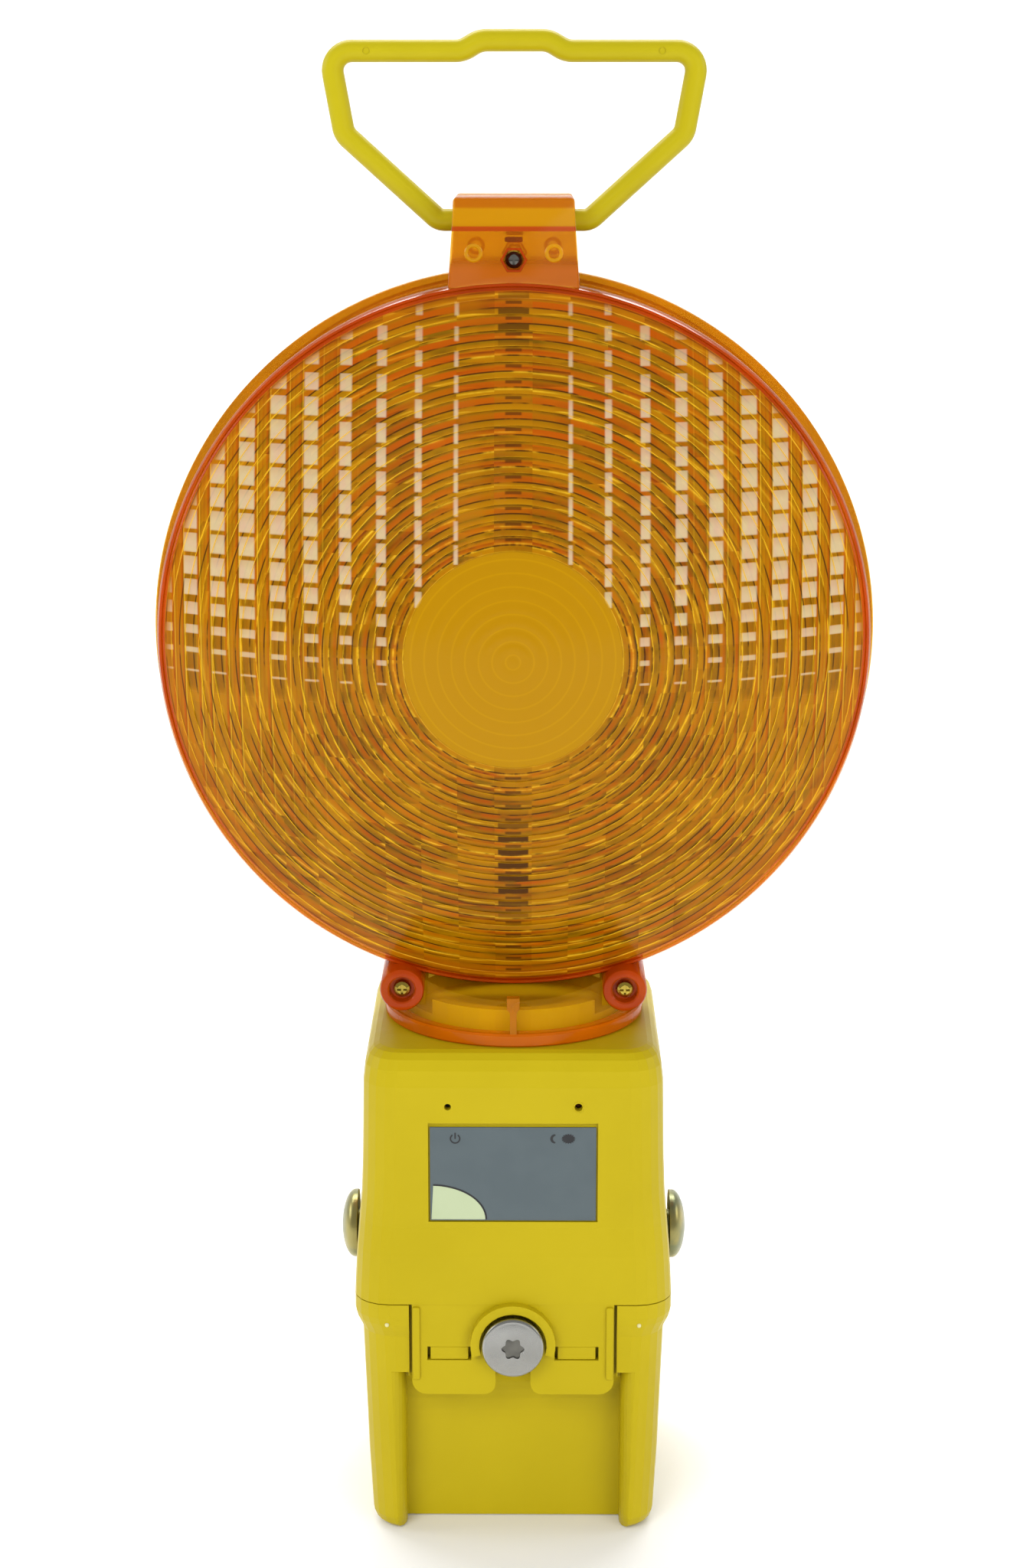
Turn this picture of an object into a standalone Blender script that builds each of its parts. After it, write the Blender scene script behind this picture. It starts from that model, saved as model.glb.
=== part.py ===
"""Barricade warning lamp: a two-sided amber lens head on a yellow battery housing.

The lamp stands on its flat base at z = 0, faces -Y and is symmetrical about x = 0.
Every length below is in millimetres; new_mesh() turns them into metres.
"""
import math

import bmesh
import bpy
from mathutils import Matrix, Vector

MM = 0.001
GAP = 0.3                  # clearance between neighbouring pieces
WALL = 2.5                 # general wall of the mouldings

# Battery box
BOX_TOP = 68.1
BOX_FLOOR = 3.0
BOX_RIM = 43.5             # half width of the collar under the seam
COLLAR_LOW = 58.6          # the collar starts to widen here
RECESS_HALF = 29.6         # front recess between the two legs
RECESS_Y = -31.5
POCKET_HALF = 28.4         # shallow pocket behind the cover's tab
POCKET_Y = -40.0
CAVITY_FRONT = -29.2
CAVITY_BACK = 38.6
LEG_R = 5.0                # rounding of the legs' inner front edges

# Cover
COVER_BOTTOM = BOX_TOP + GAP
COVER_TOP = 139.2
COVER_FRONT = -42.0        # flat front face around the label
COVER_INSIDE = 38.4
TAB_HALF = 27.6
TAB_BOTTOM = 42.0
TAB_FRONT = -43.3
TAB_BACK = -40.5
LABEL_HALF = 22.4
LABEL_LOW = 92.2
LABEL_HIGH = 118.8
HOLE_X = 17.6              # the switch hole on the left, the light sensor's on the right
HOLE_Z = 124.6

# Battery
BATTERY_HALF = 33.2
BATTERY_Y = 4.6
BATTERY_LOW = 4.8
BATTERY_HIGH = 106.0
SPRING_TOP = 117.6

# Lock bolt
LOCK_Z = 57.5
LOCK_HEAD_R = 8.45
LOCK_SHANK_R = 4.0
LOCK_UNDERSIDE = -44.8
LOCK_FACE = -48.3

# Side bolts
SIDE_Y = -12.0
SIDE_Z = 79.6
SIDE_WALL = 43.3           # outer wall where the bolts pass through
SIDE_HEAD_R = 9.5
SIDE_HEAD_H = 4.6

# Head
HEAD_Z = 247.2
RIM_R = 95.0
FLANGE_R = 97.6
RIM_Y = 20.5               # the rims stand this far in front of and behind the centre plane
LENS_R = 90.0
DOME_R = 165.0             # radius of the lens' outer sphere
SPLIT = 0.15               # half the gap between the two half shells
NECK_R = 35.0
NECK_INSIDE = 32.4
RING_R = 36.0
RING_LOW = COVER_TOP + GAP
RING_HIGH = 143.0
BOSS_X = 30.3
BOSS_Z = 152.4
BOSS_R = 6.0
BOSS_Y = 26.0
SPIGOT_R = 30.4
SPIGOT_TOP = 148.2

# Bracket and handle
BRACKET_Y = 19.0
BRACKET_TOP = 363.4
BRACKET_HALF_TOP = 15.7
BRACKET_HALF_LOW = 17.1
BRACKET_SCREW_Z = 347.6
PIVOT_Z = 357.0
BAR_R = 2.9
TUNNEL_R = 3.3


def clear_scene():
    for obj in list(bpy.data.objects):
        bpy.data.objects.remove(obj, do_unlink=True)


def make_material(name, colour, roughness, metallic=0.0):
    mat = bpy.data.materials.new(name)
    mat.use_nodes = True
    shader = mat.node_tree.nodes["Principled BSDF"]
    shader.inputs["Base Color"].default_value = (*colour, 1.0)
    shader.inputs["Roughness"].default_value = roughness
    shader.inputs["Metallic"].default_value = metallic
    return mat


# ---------------------------------------------------------------- shape helpers

def bridge(bm, ring_a, ring_b):
    """Join two rings of equal length with quads, or fan them where one is a single vertex."""
    count = max(len(ring_a), len(ring_b))
    for i in range(count):
        j = (i + 1) % count
        corners = []
        for vert in (ring_a[i % len(ring_a)], ring_a[j % len(ring_a)],
                     ring_b[j % len(ring_b)], ring_b[i % len(ring_b)]):
            if vert not in corners:
                corners.append(vert)
        bm.faces.new(corners)


def loft(rings, closed=False):
    """A solid through a list of point rings: capped at both ends, or closed on itself."""
    bm = bmesh.new()
    vert_rings = [[bm.verts.new(point) for point in ring] for ring in rings]
    for ring_a, ring_b in zip(vert_rings, vert_rings[1:]):
        bridge(bm, ring_a, ring_b)
    if closed:
        bridge(bm, vert_rings[-1], vert_rings[0])
    else:
        for ring in (vert_rings[0], vert_rings[-1]):
            if len(ring) > 2:
                bm.faces.new(ring)
    bmesh.ops.recalc_face_normals(bm, faces=bm.faces)
    return bm


def axis_point(axis, across, along, height):
    """A point from two coordinates across an axis and one along it."""
    if axis == "X":
        return Vector((height, across, along))
    if axis == "Y":
        return Vector((across, height, along))
    return Vector((across, along, height))


def lathe(profile, centre=(0, 0, 0), axis="Z", segments=32, closed=False, phase=0.0):
    """Turn (radius, height) points about an axis through centre; phase is in segments."""
    rings = []
    for radius, height in profile:
        if radius == 0:
            rings.append([axis_point(axis, 0, 0, height) + Vector(centre)])
            continue
        ring = []
        for i in range(segments):
            angle = math.tau * (i + phase) / segments
            point = axis_point(axis, radius * math.cos(angle), radius * math.sin(angle), height)
            ring.append(point + Vector(centre))
        rings.append(ring)
    return loft(rings, closed)


def cylinder(radius, low, high, centre=(0, 0, 0), axis="Z", segments=32, phase=0.0):
    return lathe([(radius, low), (radius, high)], centre, axis, segments, phase=phase)


def tube_ring(outer, inner, low, high, centre=(0, 0, 0), axis="Z", segments=32):
    return lathe([(outer, low), (outer, high), (inner, high), (inner, low)],
                 centre, axis, segments, closed=True)


def prism(outline, low, high, axis="Y"):
    """Extrude a flat outline along an axis."""
    return loft([[axis_point(axis, a, b, h) for a, b in outline] for h in (low, high)])


def block(low, high):
    outline = [(low[0], low[1]), (high[0], low[1]), (high[0], high[1]), (low[0], high[1])]
    return prism(outline, low[2], high[2], axis="Z")


def arc(cx, cy, radius, start, end, steps):
    """Points on an arc, angles in degrees."""
    points = []
    for i in range(steps + 1):
        angle = math.radians(start + (end - start) * i / steps)
        points.append((cx + radius * math.cos(angle), cy + radius * math.sin(angle)))
    return points


def rounded_rect(half_x, low_y, high_y, radius, steps=5):
    points = []
    for cx, cy, start in ((half_x - radius, high_y - radius, 0),
                          (radius - half_x, high_y - radius, 90),
                          (radius - half_x, low_y + radius, 180),
                          (half_x - radius, low_y + radius, 270)):
        points += arc(cx, cy, radius, start, start + 90, steps)
    return points


def rounded_stack(sections, steps=5):
    """A solid through rounded rectangles: (z, half width, front y, back y, corner radius)."""
    rings = []
    for z, half_x, low_y, high_y, radius in sections:
        rings.append([Vector((x, y, z)) for x, y in rounded_rect(half_x, low_y, high_y, radius, steps)])
    return loft(rings)


def fillet_path(corners, radii, steps=5):
    """A closed flat path with its corners rounded; a radius of 0 keeps the corner."""
    points = []
    count = len(corners)
    for i, (corner, radius) in enumerate(zip(corners, radii)):
        here = Vector(corner)
        if radius == 0:
            points.append(here)
            continue
        before = (Vector(corners[i - 1]) - here).normalized()
        after = (Vector(corners[(i + 1) % count]) - here).normalized()
        half = before.angle(after) / 2
        centre = here + (before + after).normalized() * (radius / math.sin(half))
        start = here + before * (radius / math.tan(half)) - centre
        end = here + after * (radius / math.tan(half)) - centre
        sweep = start.angle_signed(end)
        for k in range(steps + 1):
            points.append(centre + Matrix.Rotation(-sweep * k / steps, 2) @ start)
    return points


def sweep_tube(points, radius, sides, side_direction, closed=False):
    """A round bar along points; side_direction is never parallel to the path."""
    rings = []
    count = len(points)
    for i, point in enumerate(points):
        if closed:
            tangent = points[(i + 1) % count] - points[i - 1]
        else:
            tangent = points[min(i + 1, count - 1)] - points[max(i - 1, 0)]
        tangent.normalize()
        across = tangent.cross(side_direction).normalized()
        upward = across.cross(tangent)
        ring = []
        for k in range(sides):
            angle = math.tau * k / sides
            ring.append(point + radius * (math.cos(angle) * across + math.sin(angle) * upward))
        rings.append(ring)
    return loft(rings, closed)


def cross_outline(reach, half_width):
    """The outline of a plus sign."""
    a, b = half_width, reach
    return [(a, a), (a, b), (-a, b), (-a, a), (-b, a), (-b, -a),
            (-a, -a), (-a, -b), (a, -b), (a, -a), (b, -a), (b, a)]


# --------------------------------------------------------------- object helpers

def new_mesh(name, bm, origin=(0, 0, 0)):
    """Write a bmesh in millimetres as a mesh in metres about its origin."""
    bmesh.ops.translate(bm, verts=bm.verts, vec=-Vector(origin))
    bmesh.ops.scale(bm, verts=bm.verts, vec=(MM, MM, MM))
    mesh = bpy.data.meshes.new(name)
    bm.to_mesh(mesh)
    bm.free()
    mesh.shade_smooth()
    mesh.set_sharp_from_angle(angle=math.radians(32))
    return mesh


def make_pivot(name, place, parent=None):
    """An empty on a joint's axis, which carries the pieces of one moving body."""
    empty = bpy.data.objects.new(name, None)
    bpy.context.collection.objects.link(empty)
    empty["place"] = place
    offset = Vector(place)
    if parent is not None:
        offset = offset - Vector(parent["place"])
        empty.parent = parent
    empty.location = offset * MM
    return empty


def add_part(name, bm, material, pivot=None):
    """A named piece; its origin is its pivot, or the lamp's origin where it doesn't move."""
    origin = Vector(pivot["place"]) if pivot else Vector((0, 0, 0))
    obj = bpy.data.objects.new(name, new_mesh(name, bm, origin))
    obj.data.materials.append(material)
    bpy.context.collection.objects.link(obj)
    obj.parent = pivot
    return obj


def add_tool(name, bm):
    """A shape that only cuts or adds to a piece, and isn't one itself."""
    tool = bpy.data.objects.new(name + "_tool", new_mesh(name + "_tool", bm))
    tool.hide_render = True
    tool.display_type = "WIRE"
    bpy.context.collection.objects.link(tool)
    return tool


def combine(target, tool, operation):
    modifier = target.modifiers.new(operation.lower(), "BOOLEAN")
    modifier.operation = operation
    modifier.solver = "EXACT"
    modifier.object = tool


def cut(target, bm):
    combine(target, add_tool(target.name, bm), "DIFFERENCE")


def join(target, bm):
    combine(target, add_tool(target.name, bm), "UNION")


def unite(target, tool):
    combine(target, tool, "UNION")


# ----------------------------------------------------------------- battery box

def leg_rounder(side):
    """Cutter for the round inner front edge of a leg, wider at the foot."""
    rings = []
    for z, extra in ((-1.0, 3.4), (0.6, 2.4), (2.4, 0.8), (4.4, 0.0), (48.0, 0.0)):
        radius = LEG_R + extra
        outline = arc(RECESS_HALF + radius, radius - 42.2, radius, 180, 270, 7)
        outline += [(RECESS_HALF + radius, -60), (RECESS_HALF - 1, -60), (RECESS_HALF - 1, radius - 42.2)]
        rings.append([Vector((side * x, y, z)) for x, y in outline])
    return loft(rings)


def make_battery_box(material):
    body = rounded_stack([
        (0.0, 35.4, -38.2, 38.2, 5.5),
        (0.5, 37.0, -39.9, 39.9, 7.2),
        (1.6, 38.3, -41.1, 41.1, 8.4),
        (3.6, 39.1, -41.7, 41.7, 8.8),
        (22.0, 40.1, -42.0, 42.0, 9.0),
        (COLLAR_LOW, 41.4, -42.4, 42.4, 9.0),
        (COLLAR_LOW + 1.4, 41.9, -42.8, 42.8, 9.3),
        (COLLAR_LOW + 3.6, 43.0, -43.3, 43.3, 9.7),
        (COLLAR_LOW + 5.4, BOX_RIM, -BOX_RIM, BOX_RIM, 9.8),
        (BOX_TOP, BOX_RIM, -BOX_RIM, BOX_RIM, 9.8)])
    box = add_part("battery_box", body, material)

    cut(box, rounded_stack([
        (BOX_FLOOR, 36.3, CAVITY_FRONT, CAVITY_BACK - 0.6, 5.0),
        (BOX_TOP + 5, 38.2, CAVITY_FRONT, CAVITY_BACK, 5.0)]))
    cut(box, rounded_stack([
        (BOX_TOP - WALL, 40.3, -31.4, 40.6, 7.0),
        (BOX_TOP + 5, 40.3, -31.4, 40.6, 7.0)]))

    recess = [(RECESS_Y, -5), (RECESS_Y, 32)]
    recess += arc(RECESS_Y - 17, 32, 17, 0, 60, 5)[1:]
    recess += [(-60, 48.5), (-60, -5)]
    cut(box, prism([(y, z) for y, z in recess], -RECESS_HALF, RECESS_HALF, axis="X"))
    for side in (-1, 1):
        cut(box, leg_rounder(side))
    cut(box, block((-POCKET_HALF, -60, TAB_BOTTOM - 3), (POCKET_HALF, POCKET_Y, BOX_TOP + 5)))
    cut(box, cylinder(5.9, -60, RECESS_Y + 1.0, (0, 0, LOCK_Z), "Y"))
    for x, y in ((-18, 36), (18, 36)):
        cut(box, block((x - 6, 39.6, 8), (x + 6, 60, 44)))
    return box


def make_battery(case_material, spring_material, pad_material):
    add_part("battery_pad",
             block((-22, BATTERY_Y - 22, BOX_FLOOR + GAP), (22, BATTERY_Y + 22, BATTERY_LOW - GAP)),
             pad_material)
    front, back = BATTERY_Y - BATTERY_HALF, BATTERY_Y + BATTERY_HALF
    add_part("battery_block", rounded_stack([
        (BATTERY_LOW, BATTERY_HALF - 1.5, front + 1.5, back - 1.5, 4.0),
        (BATTERY_LOW + 1.5, BATTERY_HALF, front, back, 5.0),
        (BATTERY_HIGH - 1.5, BATTERY_HALF, front, back, 5.0),
        (BATTERY_HIGH, BATTERY_HALF - 1.5, front + 1.5, back - 1.5, 4.0)], steps=4), case_material)
    for name, x, y in (("battery_spring_centre", 0, BATTERY_Y), ("battery_spring_corner", 22, 27)):
        turns, steps = 3, 11
        points = []
        for i in range(turns * steps + 1):
            part = i / (turns * steps)
            radius = 8.5 - 4.0 * part
            angle = math.tau * turns * part
            height = BATTERY_HIGH + 1.1 + (SPRING_TOP - BATTERY_HIGH - 1.1) * part
            points.append(Vector((x + radius * math.cos(angle), y + radius * math.sin(angle), height)))
        add_part(name, sweep_tube(points, 0.5, 5, Vector((0, 0, 1))), spring_material)


def make_lock(insert_material, bolt_material, collar_pivot, bolt_pivot):
    centre = (0, 0, LOCK_Z)
    add_part("lock_insert", tube_ring(5.5, 4.4, -39.4, -31.4, centre, "Y", 24), insert_material)
    add_part("lock_washer", tube_ring(7.6, 4.4, -44.5, -43.85, centre, "Y", 24),
             bolt_material, collar_pivot)
    bolt = add_part("lock_bolt", lathe([
        (0, LOCK_FACE), (LOCK_HEAD_R - 0.9, LOCK_FACE), (LOCK_HEAD_R, LOCK_FACE + 0.8),
        (LOCK_HEAD_R, LOCK_UNDERSIDE), (LOCK_SHANK_R, LOCK_UNDERSIDE),
        (LOCK_SHANK_R, -34.0), (LOCK_SHANK_R - 0.8, -32.8), (0, -32.8)], centre, "Y", 32),
        bolt_material, bolt_pivot)
    lobes = []
    for i in range(24):
        angle = math.tau * (i + 0.3) / 24
        radius = 2.75 + 0.35 * math.cos(6 * angle)
        lobes.append((radius * math.cos(angle), LOCK_Z + radius * math.sin(angle)))
    cut(bolt, prism(lobes, LOCK_FACE - 1, LOCK_FACE + 2.4, "Y"))


# ----------------------------------------------------------------------- cover

def tab_outline():
    """The tab below the cover's front: two lobes with an open slot for the lock bolt."""
    slot = 4.8
    lobe = [(slot, LOCK_Z)]
    lobe += arc(slot + 3.0, TAB_BOTTOM + 3.0, 3.0, 180, 270, 4)
    lobe += arc(TAB_HALF - 4.0, TAB_BOTTOM + 4.0, 4.0, 270, 360, 5)
    lobe.append((TAB_HALF, COVER_BOTTOM + 3))
    left = [(-x, z) for x, z in reversed(lobe)]
    top_of_slot = arc(0, LOCK_Z, slot, 180, 0, 8)[1:-1]
    return left + top_of_slot + lobe


def make_cover(material, pivot):
    shell = rounded_stack([
        (COVER_BOTTOM, BOX_RIM, -BOX_RIM, BOX_RIM, 9.8),
        (73.0, 43.3, -43.3, 43.3, 9.8),
        (82.0, 42.8, -42.8, 42.8, 9.6),
        (90.0, 42.1, COVER_FRONT, -COVER_FRONT, 9.4),
        (98.0, 41.4, COVER_FRONT, -COVER_FRONT, 9.2),
        (108.0, 41.0, COVER_FRONT, -COVER_FRONT, 9.0),
        (130.0, 40.6, COVER_FRONT, -COVER_FRONT, 9.0),
        (134.5, 40.1, -41.4, 41.4, 9.0),
        (137.2, 39.2, -40.1, 40.1, 8.6),
        (138.7, 37.9, -38.4, 38.4, 8.0),
        (COVER_TOP, 36.4, -36.6, 36.6, 7.4)])
    cover = add_part("cover_shell", shell, material, pivot)
    join(cover, prism(tab_outline(), TAB_FRONT, TAB_BACK, "Y"))
    raised = arc(0, LOCK_Z, 11.6, -17, 197, 20) + arc(0, LOCK_Z, 9.2, 197, -17, 16)
    join(cover, prism(raised, -46.2, TAB_FRONT + 1, "Y"))
    join(cover, tube_ring(SPIGOT_R, 27.5, COVER_TOP - 1, SPIGOT_TOP, segments=40))

    inside = COVER_INSIDE
    cut(cover, rounded_stack([
        (COVER_BOTTOM - 2, inside, -39.4, 39.4, 7.0),
        (82.0, inside, -39.4, 39.4, 7.0),
        (130.0, inside - 0.3, -39.2, 39.2, 7.0),
        (COVER_TOP - WALL, inside - 3.5, -36.0, 36.0, 5.0)]))
    cut(cover, block((-LABEL_HALF - 0.5, -60, LABEL_LOW - 0.4), (LABEL_HALF + 0.5, -41.0, LABEL_HIGH + 1.2)))
    cut(cover, cylinder(0.95, -60, -30, (-HOLE_X, 0, HOLE_Z), "Y", 12))
    cut(cover, cylinder(1.1, -60, -30, (HOLE_X, 0, HOLE_Z), "Y", 12))
    cut(cover, cylinder(5.0, COVER_TOP - 5, COVER_TOP + 5, (0, 0, 0), "Z", 20))
    cut(cover, cylinder(4.3, -60, 60, (0, SIDE_Y, SIDE_Z), "X", 20))
    for side in (-1, 1):
        window = block((side * 17.4 - 6.0, -60, 52.0), (side * 17.4 + 6.0, -36, 56.0))
        cut(cover, window)
        for angle in (35, 145):
            notch = block((-4, -4, SPIGOT_TOP - 4.2), (4, 4, SPIGOT_TOP + 3))
            place = Matrix.Translation((29 * math.cos(math.radians(angle)),
                                        side * 29 * math.sin(math.radians(angle)), 0))
            notch.transform(place)
            cut(cover, notch)
    return cover


def make_gasket(material, pivot):
    low, high = BOX_TOP - WALL + GAP, BOX_TOP
    outer = rounded_rect(40.0, -31.1, 40.3, 6.7)
    inner = rounded_rect(38.9, -30.0, 39.2, 5.6)
    rings = []
    for outline, z in ((outer, low), (outer, high), (inner, high), (inner, low)):
        rings.append([Vector((x, y, z)) for x, y in outline])
    add_part("cover_gasket", loft(rings, closed=True), material, pivot)


def make_label(material, pivot):
    outline = [(-LABEL_HALF, LABEL_LOW), (LABEL_HALF, LABEL_LOW),
               (LABEL_HALF, LABEL_HIGH), (-LABEL_HALF, LABEL_HIGH)]
    add_part("label_plate", prism(outline, -41.75, -41.3), material, pivot)


def make_electronics(materials, pivot, button_pivot):
    board_back, board_front = -31.9, -33.5
    add_part("circuit_board", block((-30, board_front, 86), (30, board_back, 132)),
             materials["board"], pivot)
    switch = add_part("switch_body",
                      block((-HOLE_X - 3, -37.0, HOLE_Z - 3), (-HOLE_X + 3, board_front - GAP, HOLE_Z + 3)),
                      materials["black"], pivot)
    cut(switch, cylinder(1.9, -38, -35.2, (-HOLE_X, 0, HOLE_Z), "Y", 16))
    add_part("power_button", lathe([(0, -38.9), (1.3, -38.9), (1.6, -38.6), (1.6, -36.3), (0, -36.3)],
                                   (-HOLE_X, 0, HOLE_Z), "Y", 16), materials["black"], button_pivot)
    add_part("light_sensor", lathe([(0, -38.9), (0.9, -38.7), (1.6, -37.8), (1.6, board_front - GAP),
                                    (0, board_front - GAP)], (HOLE_X, 0, HOLE_Z), "Y", 16),
             materials["sensor"], pivot)
    add_part("contact_carrier", block((-32, -28, 120.2), (32, 36, 122.4)), materials["black"], pivot)
    add_part("contact_plate_centre", block((-6, -8, 118.5), (6, 14, 119.3 + GAP * 2)),
             materials["brass"], pivot)
    add_part("contact_plate_corner", block((14, 18, 118.5), (30, 34, 119.3 + GAP * 2)),
             materials["brass"], pivot)


def make_side_bolts(material, pivot):
    """Mushroom-head bolts through both side walls, each with a thin nut inside."""
    seat = SIDE_WALL + GAP
    for name, side in (("left", -1), ("right", 1)):
        dome = [(0, seat + SIDE_HEAD_H)]
        for i in range(1, 7):
            angle = math.radians(90 * i / 6)
            dome.append((SIDE_HEAD_R * math.sin(angle), seat + 0.9 + (SIDE_HEAD_H - 0.9) * math.cos(angle)))
        dome += [(SIDE_HEAD_R, seat), (4.0, seat), (4.0, 34.6), (0, 34.6)]
        profile = [(radius, side * x) for radius, x in dome]
        add_part("side_bolt_" + name, lathe(profile, (0, SIDE_Y, SIDE_Z), "X", 24), material, pivot)
        hexagon = arc(SIDE_Y, SIDE_Z, 7.4, 0, 300, 5)
        ends = sorted((side * 34.2, side * (COVER_INSIDE - GAP)))
        nut = add_part("side_nut_" + name, prism(hexagon, ends[0], ends[1], "X"), material, pivot)
        cut(nut, cylinder(4.3, -60, 60, (0, SIDE_Y, SIDE_Z), "X", 20))


# ------------------------------------------------------------------------ head

def lens_sag(radius):
    """How far the lens surface falls back from its apex at a radius."""
    return DOME_R - math.sqrt(DOME_R ** 2 - radius ** 2)


def dome_profile(radius_end, face_y, steps):
    """Lens surface points from the axis outwards; face_y is the plane of its outer edge."""
    apex = face_y + lens_sag(radius_end)
    points = []
    for i in range(steps + 1):
        radius = radius_end * i / steps
        points.append((radius, apex - lens_sag(radius)))
    return points


def make_half_shell(name, side, material, pivot):
    """One amber half shell: lens, drum, half the neck and half the handle bracket.

    Its pieces reach past the centre plane, and the last cut trims them all flush there.
    """
    centre = (0, 0, HEAD_Z)
    past = -4.0
    outer = dome_profile(LENS_R, RIM_Y + 0.3, 6)
    outer += [(91.4, RIM_Y), (RIM_R - 0.6, RIM_Y), (RIM_R, RIM_Y - 0.6), (RIM_R, 2.8),
              (FLANGE_R - 0.4, 2.8), (FLANGE_R, 2.4), (FLANGE_R, past)]
    inner = dome_profile(LENS_R - 2.5, RIM_Y - 2.2, 5)
    inner += [(RIM_R - WALL, RIM_Y - 4), (RIM_R - WALL, past - 3)]

    def turned(profile):
        return lathe([(radius, side * y) for radius, y in profile], centre, "Y", 52)

    def ahead(low, high):
        """Two distances in front of the centre plane as y values in rising order."""
        return sorted((side * low, side * high))

    shell = add_part(name, turned(outer), material, pivot)

    neck = add_tool(name + "_neck", cylinder(NECK_R, RING_HIGH - 1, HEAD_Z - 75, segments=48, phase=0.3))
    cut(neck, cylinder(RIM_R - 1.0, -70, 70, centre, "Y", 90, phase=0.4))
    unite(shell, neck)
    join(shell, cylinder(RING_R, RING_LOW, RING_HIGH, segments=48))
    bracket = [(BRACKET_HALF_LOW, HEAD_Z + RIM_R - 4), (BRACKET_HALF_TOP, BRACKET_TOP),
               (-BRACKET_HALF_TOP, BRACKET_TOP), (-BRACKET_HALF_LOW, HEAD_Z + RIM_R - 4)]
    near, far = ahead(past - 1, BRACKET_Y)
    join(shell, prism(bracket, near, far, "Y"))
    near, far = ahead(past - 2, BOSS_Y)
    for x in (-BOSS_X, BOSS_X):
        join(shell, cylinder(BOSS_R, near, far, (x, 0, BOSS_Z), "Y", 24, phase=0.4))

    cut(shell, turned(inner))
    cut(shell, cylinder(NECK_INSIDE, RING_LOW - 5, RING_HIGH + 6.2, segments=48, phase=0.2))
    near, far = ahead(past - 4, RIM_Y - 4.3)
    cut(shell, block((-22, near, RING_HIGH), (22, far, HEAD_Z - 80)))
    cut(shell, cylinder(TUNNEL_R, -40, 40, (0, 0, PIVOT_Z), "X", 20))
    screw_places = [(0, BRACKET_SCREW_Z, BRACKET_Y, 2.9), (-BOSS_X, BOSS_Z, BOSS_Y, 3.2),
                    (BOSS_X, BOSS_Z, BOSS_Y, 3.2)]
    for x, z, depth, seat_radius in screw_places:
        near, far = ahead(depth - 2.6, 40)
        cut(shell, cylinder(seat_radius, near, far, (x, 0, z), "Y", 20))
        cut(shell, cylinder(1.7, -60, 60, (x, 0, z), "Y", 14))
    near, far = ahead(-80, SPLIT)
    cut(shell, block((-150, near, 100), (150, far, 400)))


def make_head_screw(name, x, z, depth, material, pivot):
    """A cross-head screw through both half shells, and the hexagon nut at its far end."""
    centre = (x, 0, z)
    seat = -depth + 2.6
    front = seat - GAP
    screw = add_part(name + "_screw", lathe([
        (0, front - 1.9), (1.3, front - 1.8), (2.1, front - 1.3), (2.4, front - 0.6), (2.4, front),
        (1.4, front), (1.4, depth - 0.6), (0, depth - 0.6)], centre, "Y", 16), material, pivot)
    recess = [(x + a, z + b) for a, b in cross_outline(1.35, 0.32)]
    cut(screw, prism(recess, front - 3, front - 0.8))
    hexagon = arc(x, z, 2.7, 0, 300, 5)
    nut = add_part(name + "_nut", prism(hexagon, depth - 2.6 + GAP, depth - 0.4), material, pivot)
    cut(nut, cylinder(1.7, -60, 60, centre, "Y", 14))


def make_light_unit(post_material, board_material, led_material, pivot):
    """The upright post inside the head, with a lamp board and a lens cap on each side."""
    top = HEAD_Z + RIM_R - WALL - GAP
    post = add_part("lamp_post", block((-4.6, -2.2, 155.6), (4.6, 2.2, top - 0.2)), post_material, pivot)
    cut(post, block((-10, -1.2, HEAD_Z - 16.4), (10, 10, HEAD_Z + 16.4)))
    add_part("lamp_board", lathe([(12.5, -0.9), (12.5, 0.7)], (0, 0, HEAD_Z), "Y", 32),
             board_material, pivot)
    for name, side in (("front", -1), ("rear", 1)):
        base = 2.6 if side < 0 else 1.0
        cap = [(0, base), (4.2, base), (4.2, base + 1.2)]
        for i in range(1, 5):
            angle = math.radians(90 * i / 4)
            cap.append((4.2 * math.cos(angle) if i < 4 else 0, base + 1.2 + 3.4 * math.sin(angle)))
        add_part("led_" + name, lathe([(radius, side * y) for radius, y in cap],
                                      (0, 0, HEAD_Z), "Y", 20), led_material, pivot)


def make_neck_seal(material, pivot):
    profile = arc(31.4, 141.6, 0.65, 0, 300, 5)
    add_part("neck_seal", lathe(profile, segments=32, closed=True), material, pivot)


# ---------------------------------------------------------------------- handle

def handle_path():
    """The bent bar's centre line in the XZ plane, about the pivot."""
    crest = 2.7
    top = 43.3
    half = [(19.9, 0.0), (44.6, 22.2), (48.4, top), (13.5, top)]
    radii = [4.0, 5.0, 5.0, 7.0]
    half += [(9.0, top + crest)]
    radii += [7.0]
    corners = half + [(-x, z) for x, z in reversed(half)]
    return fillet_path(corners, radii + radii[::-1], 3)


def make_handle(material, pivot):
    points = [Vector((point[0], 0, PIVOT_Z + point[1])) for point in handle_path()]
    add_part("carry_handle", sweep_tube(points, BAR_R, 10, Vector((0, 1, 0)), closed=True),
             material, pivot)


# -------------------------------------------------------------------- assembly

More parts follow.
